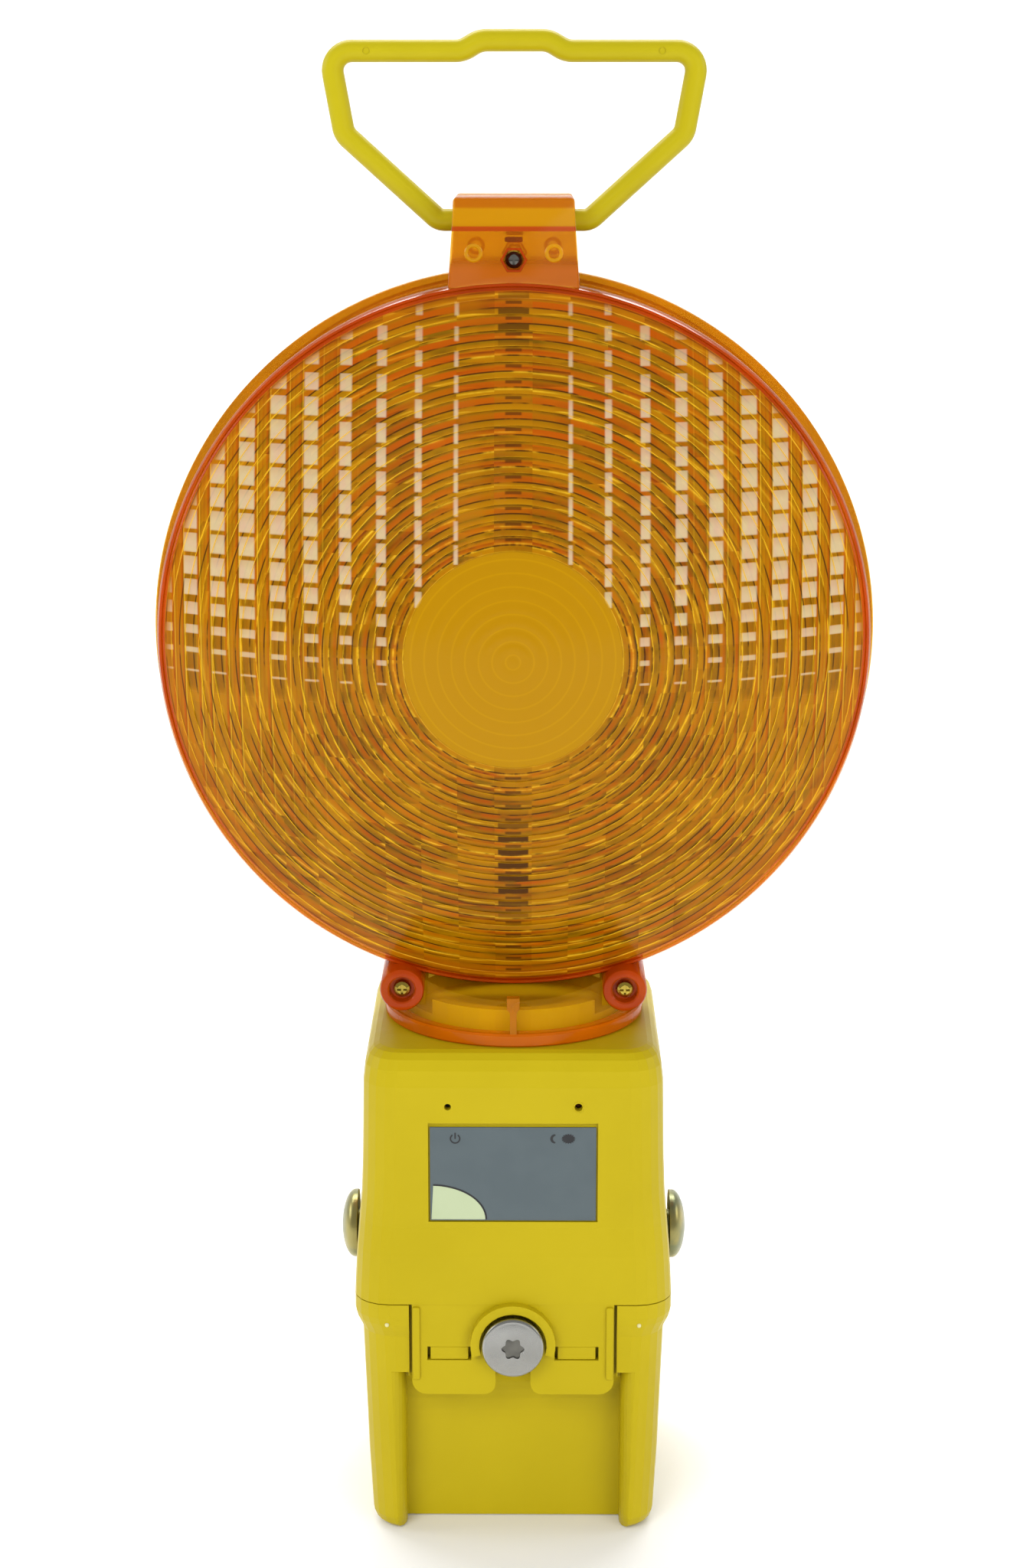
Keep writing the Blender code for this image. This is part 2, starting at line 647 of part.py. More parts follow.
def build():
    clear_scene()
    yellow = make_material("yellow_moulding", (0.62, 0.50, 0.02), 0.5)
    lemon = make_material("lemon_bar", (0.70, 0.58, 0.03), 0.45)
    amber = make_material("amber_lens", (0.85, 0.28, 0.01), 0.15)
    steel = make_material("satin_steel", (0.45, 0.46, 0.43), 0.3, 1.0)
    zinc = make_material("yellow_zinc", (0.55, 0.46, 0.18), 0.3, 1.0)
    rubber = make_material("black_rubber", (0.02, 0.02, 0.02), 0.8)
    label = make_material("grey_label", (0.19, 0.24, 0.29), 0.5)
    case = make_material("battery_case", (0.03, 0.05, 0.12), 0.5)
    electronics = {
        "board": make_material("green_board", (0.02, 0.12, 0.05), 0.4),
        "black": make_material("black_plastic", (0.02, 0.02, 0.02), 0.5),
        "sensor": make_material("sensor_glass", (0.10, 0.05, 0.03), 0.1),
        "brass": make_material("brass_contact", (0.60, 0.42, 0.15), 0.3, 1.0)}
    led = make_material("led_cap", (0.85, 0.80, 0.60), 0.1)

    cover_pivot = make_pivot("cover_lift", (0, 0, COVER_BOTTOM))
    collar_pivot = make_pivot("lock_travel", (0, TAB_FRONT, LOCK_Z))
    bolt_pivot = make_pivot("lock_turn", (0, TAB_FRONT, LOCK_Z), collar_pivot)
    button_pivot = make_pivot("button_press", (-HOLE_X, -38.9, HOLE_Z), cover_pivot)
    head_pivot = make_pivot("head_swivel", (0, 0, RING_LOW), cover_pivot)
    handle_pivot = make_pivot("handle_fold", (0, 0, PIVOT_Z), head_pivot)

    make_battery_box(yellow)
    make_battery(case, steel, rubber)
    make_lock(electronics["brass"], steel, collar_pivot, bolt_pivot)

    make_cover(yellow, cover_pivot)
    make_gasket(rubber, cover_pivot)
    make_label(label, cover_pivot)
    make_electronics(electronics, cover_pivot, button_pivot)
    make_side_bolts(zinc, cover_pivot)

    make_half_shell("front_lens_shell", -1, amber, head_pivot)
    make_half_shell("rear_lens_shell", 1, amber, head_pivot)
    make_light_unit(electronics["black"], electronics["board"], led, head_pivot)
    make_neck_seal(rubber, head_pivot)
    make_head_screw("neck_left", -BOSS_X, BOSS_Z, BOSS_Y, zinc, head_pivot)
    make_head_screw("neck_right", BOSS_X, BOSS_Z, BOSS_Y, zinc, head_pivot)
    make_head_screw("bracket", 0, BRACKET_SCREW_Z, BRACKET_Y, steel, head_pivot)
    make_handle(lemon, handle_pivot)


build()
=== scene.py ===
"""Looks of the barricade warning lamp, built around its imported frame.

The lamp faces -Y and stands on z = 0. Sizes are in millimetres; MM turns them into metres.
"""
import math

import bmesh
import bpy
from mathutils import Matrix, Vector


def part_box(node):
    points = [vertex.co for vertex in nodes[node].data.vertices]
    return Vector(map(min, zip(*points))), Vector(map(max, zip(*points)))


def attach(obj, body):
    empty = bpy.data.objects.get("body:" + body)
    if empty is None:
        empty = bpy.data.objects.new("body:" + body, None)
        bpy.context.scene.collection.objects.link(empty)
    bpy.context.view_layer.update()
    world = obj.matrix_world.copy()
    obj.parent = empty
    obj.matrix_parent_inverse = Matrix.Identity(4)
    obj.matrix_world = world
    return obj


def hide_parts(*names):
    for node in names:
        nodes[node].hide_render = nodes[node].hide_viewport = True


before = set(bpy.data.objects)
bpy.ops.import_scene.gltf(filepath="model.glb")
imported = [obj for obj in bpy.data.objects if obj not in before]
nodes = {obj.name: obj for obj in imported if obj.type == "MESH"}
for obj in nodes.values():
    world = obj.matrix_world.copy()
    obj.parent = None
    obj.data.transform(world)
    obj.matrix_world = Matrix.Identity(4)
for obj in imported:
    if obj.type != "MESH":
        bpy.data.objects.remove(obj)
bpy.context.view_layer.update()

MM = 0.001
SHARP_DEGREES = 35.0       # steeper edges are shaded as sharp ones


def box_mm(name):
    """A node's lowest and highest corners in millimetres."""
    low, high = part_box(name)
    return Vector(low) / MM, Vector(high) / MM


# Places taken from the frame
shell_low, shell_high = box_mm("front_lens_shell")
board_low, board_high = box_mm("lamp_board")
bolt_low, bolt_high = box_mm("lock_bolt")
label_low, label_high = box_mm("label_plate")
sensor_low, sensor_high = box_mm("light_sensor")
boss_low, boss_high = box_mm("neck_right_screw")
seat_low, seat_high = box_mm("bracket_screw")

# The head: a drum of two half shells, each with a domed lens
HEAD_Z = (board_low.z + board_high.z) / 2
FLANGE_R = shell_high.x
RIM_R = FLANGE_R - 2.6
RIM_Y = 20.5
LENS_R = 93.4
DOME_R = 174.0
WALL = 2.5
SPLIT = -shell_high.y      # the parting plane's distance from y = 0
LENS_SEGMENTS = 400

# Moulded optics of the lens
DISC_R = 28.4
RING_PITCH = 3.9
DISC_PITCH = 3.5
COLUMN = 9.8               # width of a pillow column at the middle
ROW = 6.0
CURVE = 128.0              # the columns narrow outwards as if wrapped on this radius
PILLOW_ACROSS = 0.16       # depths of the relief
PILLOW_DOWN = 0.10
RING_TOOTH = 0.34
DISC_RIPPLE = 0.05

# Neck, screw bosses and bracket
RING_LOW = shell_low.z
RING_HIGH = RING_LOW + 3.5
RING_R = 36.0
NECK_R = 35.0
NECK_INSIDE = 32.4
NECK_TOP = HEAD_Z - 75     # inside the drum, which cuts the neck off lower down
BOSS_X = (boss_low.x + boss_high.x) / 2
BOSS_Z = (boss_low.z + boss_high.z) / 2
BOSS_Y = 26.0
BOSS_R = 6.0
SCREW_HOLE_R = 1.7
BRACKET_TOP = shell_high.z
BRACKET_Y = 20.2
BRACKET_FOOT = 17.1        # half widths at the foot and under the rounded top
BRACKET_HEAD = 15.9
BRACKET_SCREW_Z = (seat_low.z + seat_high.z) / 2
PIVOT_Z = BRACKET_TOP - 6.4
TUNNEL_R = 3.3
SEAT_R = 3.5
PEG_X = 10.4

# Handle bar
BAR_R = 2.9
BAR_SIDES = 28
BAR_TOP = 43.3             # height of the grip above the pivot

# Bolts
LOCK_Z = (bolt_low.z + bolt_high.z) / 2
LOCK_R = (bolt_high.z - bolt_low.z) / 2
LOCK_FACE = bolt_low.y
LOCK_SEAT = -44.8
SHANK_R = 4.0
SIDE_R = 9.5
SHANK_END = 34.6           # how far inside the side bolts' shanks end

# Front of the housing
TAB_Y = -43.3
COVER_Y = -41.9
COLLAR_Y = -43.0
LABEL_FACE = label_low.y
LABEL_INSET = 0.3
LABEL_LEFT = label_low.x + LABEL_INSET
LABEL_BOTTOM = label_low.z + LABEL_INSET
SIGN_Z = label_high.z - LABEL_INSET - 2.9
POWER_X = -15.6
RAIL_X = 26.4
TONGUE_X = 17.4
PIP_X = 34.4


# ------------------------------------------------------------------ shader nodes

def feed(tree, value, slot):
    """Put a calculated value or a plain number into a socket."""
    if isinstance(value, Value):
        tree.links.new(value.socket, slot)
    else:
        slot.default_value = value


class Value:
    """A shader number that is calculated with ordinary operators, one node each."""

    def __init__(self, tree, socket):
        self.tree = tree
        self.socket = socket

    def math(self, operation, *others):
        node = self.tree.nodes.new("ShaderNodeMath")
        node.operation = operation
        for slot, value in zip(node.inputs, (self, *others)):
            feed(self.tree, value, slot)
        return Value(self.tree, node.outputs[0])

    def __add__(self, other):
        return self.math("ADD", other)

    def __sub__(self, other):
        return self.math("SUBTRACT", other)

    def __mul__(self, other):
        return self.math("MULTIPLY", other)

    def __truediv__(self, other):
        return self.math("DIVIDE", other)

    def rest(self):
        """What a share leaves over."""
        return self * -1.0 + 1.0

    def fraction(self):
        return self.math("FRACT")

    def whole(self):
        return self.math("ROUND")

    def absolute(self):
        return self.math("ABSOLUTE")

    def step(self, low, high):
        """0 below low, 1 above high, smooth between; low may be the larger one."""
        node = self.tree.nodes.new("ShaderNodeMapRange")
        node.interpolation_type = "SMOOTHSTEP"
        flip = low > high
        node.inputs["From Min"].default_value = high if flip else low
        node.inputs["From Max"].default_value = low if flip else high
        node.inputs["To Min"].default_value = 1.0 if flip else 0.0
        node.inputs["To Max"].default_value = 0.0 if flip else 1.0
        self.tree.links.new(self.socket, node.inputs["Value"])
        return Value(self.tree, node.outputs["Result"])


def distance(a, b):
    """How far a point lies from an axis, given its two coordinates."""
    return (a * a + b * b).math("SQRT")


class Surface:
    """A material under construction, with its object-space coordinates in millimetres."""

    def __init__(self, name, roughness=0.4, metallic=0.0, gloss=0.5):
        self.material = bpy.data.materials.new(name)
        self.material.use_nodes = True
        self.tree = self.material.node_tree
        self.shader = self.tree.nodes["Principled BSDF"]
        self.shader.inputs["Roughness"].default_value = roughness
        self.shader.inputs["Metallic"].default_value = metallic
        self.shader.inputs["Specular IOR Level"].default_value = gloss
        self.place = self.tree.nodes.new("ShaderNodeTexCoord").outputs["Object"]
        parts = self.tree.nodes.new("ShaderNodeSeparateXYZ")
        self.tree.links.new(self.place, parts.inputs[0])
        self.x, self.y, self.z = (Value(self.tree, out) * (1 / MM) for out in parts.outputs)

    def vector(self, *values):
        node = self.tree.nodes.new("ShaderNodeCombineXYZ")
        for slot, value in zip(node.inputs, values):
            feed(self.tree, value, slot)
        return node.outputs[0]

    def noise(self, scale, detail=2.0, vector=None):
        node = self.tree.nodes.new("ShaderNodeTexNoise")
        node.inputs["Scale"].default_value = scale
        node.inputs["Detail"].default_value = detail
        self.tree.links.new(vector or self.place, node.inputs["Vector"])
        return Value(self.tree, node.outputs[0])

    def ramp(self, value, stops):
        """A colour along stops of (position, colour)."""
        node = self.tree.nodes.new("ShaderNodeValToRGB")
        elements = node.color_ramp.elements
        while len(elements) < len(stops):
            elements.new(0.5)
        for element, (position, colour) in zip(elements, stops):
            element.position = position
            element.color = (*colour, 1.0)
        self.tree.links.new(value.socket, node.inputs[0])
        return node.outputs[0]

    def mix(self, factor, a, b, blend="MIX"):
        """Blend two colours; the node keeps them at inputs 6 and 7 and its result at output 2."""
        node = self.tree.nodes.new("ShaderNodeMix")
        node.data_type = "RGBA"
        node.blend_type = blend
        feed(self.tree, factor, node.inputs[0])
        for slot, colour in ((node.inputs[6], a), (node.inputs[7], b)):
            if isinstance(colour, tuple):
                slot.default_value = (*colour, 1.0)
            else:
                self.tree.links.new(colour, slot)
        return node.outputs[2]

    def colour(self, socket):
        self.tree.links.new(socket, self.shader.inputs["Base Color"])

    def roughness(self, value):
        self.tree.links.new(value.socket, self.shader.inputs["Roughness"])

    def bump(self, height, distance):
        """Relief from a height value; distance is in millimetres."""
        node = self.tree.nodes.new("ShaderNodeBump")
        node.inputs["Distance"].default_value = distance * MM
        self.tree.links.new(height.socket, node.inputs["Height"])
        self.tree.links.new(node.outputs[0], self.shader.inputs["Normal"])

    def see_through(self, share, tint):
        """Let a share of the light pass straight through, tinted."""
        clear = self.tree.nodes.new("ShaderNodeBsdfTransparent")
        clear.inputs["Color"].default_value = (*tint, 1.0)
        blend = self.tree.nodes.new("ShaderNodeMixShader")
        feed(self.tree, share, blend.inputs[0])
        self.tree.links.new(self.shader.outputs[0], blend.inputs[1])
        self.tree.links.new(clear.outputs[0], blend.inputs[2])
        out = self.tree.nodes["Material Output"]
        self.tree.links.new(blend.outputs[0], out.inputs["Surface"])


# --------------------------------------------------------------------- materials

def moulded(name, colour, dark, roughness=0.42, grain=900.0, depth=0.02):
    """Moulded plastic: faint flow marks in the colour and a fine eroded grain."""
    surface = Surface(name, roughness, gloss=0.15)
    flow = surface.noise(22.0, 3.0).step(0.35, 0.7)
    surface.colour(surface.mix(flow, colour, dark))
    surface.roughness(surface.noise(160.0, 3.0) * 0.16 + (roughness - 0.08))
    surface.bump(surface.noise(grain, 2.0), depth)
    return surface.material


def metal(name, colour, other, roughness=0.28, scale=60.0):
    """Plated or turned metal: cloudy colour and fine random scratches."""
    surface = Surface(name, roughness, 1.0)
    cloud = surface.noise(scale, 4.0).step(0.38, 0.62)
    surface.colour(surface.mix(cloud, colour, other))
    surface.roughness(surface.noise(420.0, 3.0) * 0.22 + (roughness - 0.1))
    surface.bump(surface.noise(1500.0, 2.0), 0.006)
    return surface.material


def spun_steel():
    """Bolt steel with a turned face: fine rings about the bolt's own axis."""
    surface = Surface("spun_steel", 0.24, 1.0)
    ring = (distance(surface.x, surface.z - LOCK_Z) * 3.2).fraction()
    cloud = surface.noise(50.0, 2.0).step(0.40, 0.60)
    surface.colour(surface.mix(cloud, (0.40, 0.40, 0.38), (0.35, 0.35, 0.33)))
    surface.roughness(ring * 0.05 + surface.noise(400.0) * 0.05 + 0.24)
    surface.bump(ring, 0.002)
    return surface.material


# Lens colours for its painted light and shade: BRIGHT for painted highlights, PALE and PINK for painted
# reflections, OLIVE and BROWN for painted shade; BROWN also for the post's dark bars.
GOLD = (0.40, 0.170, 0.001)
OLIVE_GOLD = (0.27, 0.125, 0.001)
AMBER = (0.33, 0.105, 0.001)
ORANGE = (0.42, 0.070, 0.001)
BRIGHT = (0.84, 0.50, 0.02)
OLIVE = (0.12, 0.062, 0.002)
BROWN = (0.055, 0.018, 0.002)
PALE = (0.54, 0.43, 0.24)
PINK = (0.55, 0.38, 0.25)
DISC = (0.385, 0.189, 0.001)
DISC_LINE = (0.43, 0.222, 0.001)


class Optics:
    """Where a point of the lens lies: its ring, its pillow column and its row."""

    def __init__(self, surface):
        self.x = surface.x
        self.height = surface.z - HEAD_Z
        self.radius = distance(self.x, self.height)
        self.column = (self.x / CURVE).math("ARCSINE") * (CURVE / COLUMN)
        self.row = self.height / (-ROW)
        self.ring = (self.radius - DISC_R) / RING_PITCH
        self.middle = self.x.absolute().step(74, 34)
        # Thin line at each ring's tooth, where painted highlights go.
        self.highlight_line = (self.ring.fraction() - 0.5).absolute().step(0.43, 0.49)
        turn = self.height.math("ARCTAN2", self.x)
        place = surface.vector(turn * 9.0, self.ring.math("FLOOR") * 3.3, 0.0)
        self.along = surface.noise(1.0, 3.0, place)

    def ring_behind(self):
        """The rear lens's ring: each pillow squeezes it, so its arcs jump at the column edges."""
        x = self.x - (self.column - self.column.whole()) * (COLUMN * 0.36)
        height = self.height + (self.row - self.row.whole()) * (ROW * 0.25)
        return distance(x, height) / RING_PITCH * 0.83 + 0.35


def ring_arcs(surface, lens):
    """Painted light and shade of the front rings' arcs and, in places, of the rear ones; orange bands in
    the crown.
    """
    behind = lens.ring_behind()
    front = surface.ramp(lens.ring.fraction(), [
        (0.0, BRIGHT), (0.05, GOLD), (0.36, OLIVE_GOLD), (0.42, BROWN), (0.46, AMBER),
        (0.58, ORANGE), (0.80, AMBER), (0.90, OLIVE), (0.955, BROWN)])
    rear = surface.ramp(behind.fraction(), [
        (0.0, GOLD), (0.22, AMBER), (0.34, OLIVE), (0.50, OLIVE_GOLD), (0.60, AMBER),
        (0.74, GOLD), (0.80, BRIGHT), (0.85, GOLD), (0.95, BROWN)])
    colour = surface.mix(lens.along.step(0.30, 0.70) * 0.7 + 0.1, front, rear)

    column = lens.column.whole()
    facet = surface.noise(1.0, 0.0, surface.vector(column * 3.1, lens.row.whole() * 2.3, 9.0))
    patch = surface.noise(1.0, 2.0, surface.vector(lens.x * 0.055, lens.height * 0.055, 7.0))
    colour = surface.mix(facet.step(0.40, 0.62) * 0.28, colour, OLIVE_GOLD, "MULTIPLY")
    colour = surface.mix(patch.step(0.42, 0.60) * 0.35, colour, GOLD)

    cells = surface.noise(1.0, 1.0, surface.vector(column * 2.7, behind.math("FLOOR") * 1.9, 4.0))
    crown = lens.height.step(16, 62) * lens.middle
    band = (lens.ring.fraction() - 0.62).absolute().step(0.24, 0.17)
    return surface.mix(band * crown * (cells.step(0.36, 0.62) * 0.66 + 0.14), colour, ORANGE)


def flank_stripes(surface, lens, colour):
    """On the flanks the column edges show as upright stripes of painted light and shade."""
    stripes = surface.ramp(lens.column.fraction(), [
        (0.0, AMBER), (0.10, GOLD), (0.16, ORANGE), (0.22, OLIVE), (0.25, BRIGHT), (0.28, GOLD),
        (0.72, GOLD), (0.76, ORANGE), (0.82, AMBER), (0.86, BRIGHT), (0.88, OLIVE_GOLD), (0.95, GOLD)])
    return surface.mix(lens.middle.rest() * lens.height.step(-60, -10) * 0.62, colour, stripes)


def long_arcs(surface, lens, colour):
    """Painted highlight arcs on the flanks, thin arcs of painted shade all round, and redder towards the
    rim.
    """
    flank = lens.x.absolute().step(10, 36) * lens.along.step(0.42, 0.58)
    colour = surface.mix(lens.highlight_line * flank * 0.9, colour, BRIGHT)
    edge = (lens.ring.fraction() - 0.42).absolute().step(0.070, 0.025)
    colour = surface.mix(edge * lens.along.step(0.62, 0.45) * 0.85, colour, BROWN)
    return surface.mix(lens.radius.step(86, 93) * 0.35, colour, ORANGE)


def pale_cells(surface, lens, colour):
    """Painted reflections of the light from above in the pillow cells, wider outwards and taller upwards,
    with faint painted shade below them.
    """
    width = (lens.x.absolute() * 0.078 - 0.1).math("MINIMUM", 4.9)
    tall = lens.height.step(-16, 24) * 0.84 * (lens.height.step(50, 96) * -0.35 + 1.0)
    side = (lens.column.fraction() - 0.5).absolute() * COLUMN
    down = lens.row.fraction()
    reach = lens.x.absolute().step(8, 13) * lens.radius.step(93, 90) * lens.height.step(-13, -10)

    # Painted shade in the lower part of the cells, below the painted reflections.
    under = (width * 0.28 - (side - 0.3).absolute()).step(-0.2, 0.2) * (down - tall).step(0.0, 0.06)
    colour = surface.mix(under * reach * lens.height.step(44, 20) * 0.35, colour, BROWN)

    place = surface.vector(lens.x * 0.30, lens.height * 0.14, lens.column.math("FLOOR"))
    shade = surface.noise(1.0, 2.0, place)
    pale = surface.mix(shade.step(0.35, 0.70), PALE, PINK)
    pale = surface.mix(down.step(0.55, 0.95) * 0.4, pale, PALE)
    pale = surface.mix(lens.highlight_line * 0.7, pale, BRIGHT)
    cell = (width * 0.5 - side).step(-0.35, 0.35) * (tall - down).step(-0.04, 0.04) * down.step(0.0, 0.06)
    strength = (lens.height.step(92, 60) * 0.28 + 0.60) * (down.step(0.0, 0.55) * 0.25 + 0.75)
    return surface.mix(cell * reach * strength, colour, pale)


def post_bars(surface, lens, colour):
    """The lamp post shows as dark bars between the rings of the middle column."""
    strip = lens.x.absolute().step(4.2, 3.8)
    bars = (lens.ring.fraction() - 0.2).absolute().step(0.24, 0.14)
    lower = (lens.height + 57).absolute().step(20, 8)
    upper = (lens.height - 86).absolute().step(9, 3) * 0.8
    colour = surface.mix(strip * bars * (lower + upper) * 0.95, colour, BROWN)
    dashes = (lens.ring.fraction() - 0.75).absolute().step(0.14, 0.06)
    return surface.mix(lens.x.absolute().step(2.4, 1.8) * dashes * 0.7, colour, BROWN)


def smooth_disc(surface, lens, colour):
    """The smooth middle with faint rings."""
    ripple = surface.ramp((lens.radius / DISC_PITCH).fraction(), [
        (0.0, DISC), (0.45, DISC), (0.55, DISC_LINE), (0.64, DISC), (1.0, DISC)])
    return surface.mix(lens.radius.step(DISC_R + 0.4, DISC_R - 0.4), colour, ripple)


def lens_material():
    """The moulded optics as they look lit, painted from the smallest detail up."""
    surface = Surface("amber_optics", 0.16, gloss=0.10)
    lens = Optics(surface)
    colour = ring_arcs(surface, lens)
    for layer in (flank_stripes, long_arcs, pale_cells, post_bars, smooth_disc):
        colour = layer(surface, lens, colour)
    surface.colour(colour)
    surface.bump(surface.noise(260.0, 2.0), 0.02)
    return surface.material


def clear_amber(name, colour, share, tint, gloss=0.25):
    """Plain walls of the amber plastic, which things behind show through."""
    surface = Surface(name, 0.14, gloss=gloss)
    depth = surface.noise(45.0, 2.0).step(0.35, 0.65)
    darker = tuple(part * 0.78 for part in colour)
    surface.colour(surface.mix(depth, colour, darker))
    surface.bump(surface.noise(180.0, 2.0), 0.03)
    surface.see_through(share, tint)
    return surface.material


def bracket_material():
    """Amber bracket: the bar's tunnel shows as a golden band with a red edge under it."""
    surface = Surface("amber_bracket", 0.14, gloss=0.25)
    height = surface.z - PIVOT_Z
    band = height.step(-1.2, -0.6)
    edge = (height + 1.5).absolute().step(0.75, 0.45)
    foot = height.step(-9.0, -12.5)
    cloud = surface.noise(60.0, 2.0).step(0.35, 0.65)
    plain = surface.mix(cloud, (0.56, 0.150, 0.001), (0.46, 0.110, 0.001))
    colour = surface.mix(band, plain, (0.62, 0.290, 0.001))
    colour = surface.mix(height.step(3.4, 4.2), colour, (0.50, 0.140, 0.001))
    colour = surface.mix(foot * 0.8, colour, (0.44, 0.100, 0.001))
    surface.colour(surface.mix(edge * 0.9, colour, (0.42, 0.045, 0.001)))
    surface.bump(surface.noise(180.0, 2.0), 0.03)
    share = (band * -0.25 + 0.62) - edge * 0.4 - foot * 0.42
    surface.see_through(share, (1.0, 0.84, 0.28))
    return surface.material


yellow = moulded("yellow_moulding", (0.46, 0.357, 0.005), (0.435, 0.336, 0.004))
lemon = moulded("lemon_bar", (0.45, 0.375, 0.006), (0.42, 0.35, 0.005), 0.36, 700.0, 0.03)
optics = lens_material()
amber_wall = clear_amber("amber_wall", (0.52, 0.150, 0.001), 0.66, (0.99, 0.82, 0.30))
amber_neck = clear_amber("amber_neck", (0.98, 0.42, 0.002), 0.86, (1.0, 0.94, 0.58))
amber_bracket = bracket_material()
# Painted glint: the pegs' bright gold colour stands for their glints.
amber_painted_glint = clear_amber("amber_painted_glint", (0.80, 0.42, 0.004), 0.50, (1.0, 0.90, 0.40), 0.6)
# Painted shade: a dark amber for the piece that stands in the window above the bracket's screw.
amber_painted_shade = clear_amber("amber_painted_shade", (0.20, 0.040, 0.001), 0.25, (0.99, 0.60, 0.12))
amber_rib = clear_amber("amber_rib", (0.56, 0.200, 0.001), 0.45, (0.99, 0.80, 0.30))
amber_ring = clear_amber("amber_ring", (0.78, 0.190, 0.001), 0.50, (0.99, 0.70, 0.15))
amber_rim = clear_amber("amber_rim", (0.47, 0.050, 0.001), 0.28, (0.99, 0.60, 0.12), 0.22)
amber_edge = clear_amber("amber_edge", (0.44, 0.070, 0.001), 0.28, (0.99, 0.60, 0.12), 0.60)
zinc = metal("yellow_zinc", (0.52, 0.38, 0.06), (0.38, 0.28, 0.05), 0.24, 130.0)
olive_zinc = metal("olive_zinc", (0.36, 0.31, 0.11), (0.22, 0.23, 0.12), 0.34, 110.0)
dark_steel = metal("dark_steel", (0.22, 0.215, 0.19), (0.10, 0.10, 0.09), 0.34)
seal = moulded("amber_rubber", (0.42, 0.27, 0.010), (0.38, 0.24, 0.008), 0.6, 500.0, 0.04)
steel = metal("bright_steel", (0.60, 0.60, 0.57), (0.46, 0.46, 0.43), 0.26)
brass = metal("brass_contact", (0.72, 0.50, 0.20), (0.60, 0.40, 0.14), 0.28)
rubber = moulded("black_rubber", (0.018, 0.018, 0.018), (0.028, 0.027, 0.026), 0.75, 500.0, 0.05)
black = moulded("black_plastic", (0.020, 0.020, 0.022), (0.034, 0.033, 0.033), 0.45)
case = moulded("battery_case", (0.03, 0.05, 0.13), (0.045, 0.07, 0.16), 0.42)
led = moulded("led_cap", (0.86, 0.80, 0.62), (0.80, 0.72, 0.52), 0.10, 90.0, 0.01)
glass = moulded("sensor_glass", (0.20, 0.06, 0.03), (0.12, 0.04, 0.02), 0.08, 90.0, 0.01)
steel_turned = spun_steel()


def board_material():
    """Green circuit board with lighter copper tracks under the lacquer."""
    surface = Surface("circuit_board", 0.35)
    track = ((surface.x * 0.45).fraction() - 0.5).absolute().step(0.10, 0.06)
    branch = ((surface.z * 0.32).fraction() - 0.5).absolute().step(0.09, 0.05)
    pick = surface.noise(60.0, 0.0).step(0.48, 0.54)
    copper = track * pick + branch * pick.rest()
    surface.colour(surface.mix(copper, (0.012, 0.10, 0.035), (0.05, 0.24, 0.09)))
    surface.bump(track + branch, 0.03)
    return surface.material


def printed(name, colour, dark, roughness):
    """A printed film: even ink with a slight orange-peel varnish."""
    surface = Surface(name, roughness)
    surface.colour(surface.mix(surface.noise(110.0, 2.0).step(0.35, 0.65), colour, dark))
    surface.roughness(surface.noise(300.0, 2.0) * 0.14 + (roughness - 0.07))
    surface.bump(surface.noise(600.0, 1.0), 0.008)
    return surface.material


board = board_material()
film = printed("grey_film", (0.076, 0.101, 0.110), (0.071, 0.095, 0.104), 0.42)
ink = printed("black_ink", (0.012, 0.012, 0.014), (0.02, 0.02, 0.022), 0.5)
window_film = printed("green_film", (0.44, 0.51, 0.31), (0.42, 0.49, 0.29), 0.4)

MATERIALS = {
    "battery_box": yellow, "cover_shell": yellow, "label_plate": film,
    "battery_block": case, "battery_pad": rubber, "cover_gasket": rubber, "neck_seal": seal,
    "circuit_board": board, "lamp_board": board, "led_front": led, "led_rear": led,
    "lamp_post": black, "switch_body": black, "power_button": black, "contact_carrier": black,
    "light_sensor": glass, "contact_plate_centre": brass, "contact_plate_corner": brass,
    "lock_insert": brass, "lock_washer": steel_turned, "lock_bolt": steel_turned,
    "bracket_screw": dark_steel}
for name, obj in nodes.items():
    if name in MATERIALS:
        material = MATERIALS[name]
    elif "lens_shell" in name:
        material = amber_wall
    elif "side_" in name or "neck_" in name:
        material = zinc
    elif name == "carry_handle":
        material = lemon
    else:
        material = steel
    for slot in obj.material_slots:
        slot.material = material


# ----------------------------------------------------------------------- meshes

def finish_mesh(name, bm, materials, sharp=SHARP_DEGREES):
    """A bmesh in millimetres becomes an object in metres."""
    bmesh.ops.recalc_face_normals(bm, faces=bm.faces)
    bmesh.ops.scale(bm, verts=bm.verts, vec=(MM, MM, MM))
    mesh = bpy.data.meshes.new(name)
    bm.to_mesh(mesh)
    bm.free()
    mesh.shade_smooth()
    mesh.set_sharp_from_angle(angle=math.radians(sharp))
    obj = bpy.data.objects.new(name, mesh)
    bpy.context.collection.objects.link(obj)
    for material in materials:
        mesh.materials.append(material)
    return obj


def strip(bm, ring_a, ring_b, slot=0, closed=True):
    """Quads between two rows of vertices; a row may be a single one."""
    count = max(len(ring_a), len(ring_b))
    for i in range(count if closed else count - 1):
        j = (i + 1) % count
        corners = []
        for vert in (ring_a[i % len(ring_a)], ring_a[j % len(ring_a)],
                     ring_b[j % len(ring_b)], ring_b[i % len(ring_b)]):
            if vert not in corners:
                corners.append(vert)
        bm.faces.new(corners).material_index = slot


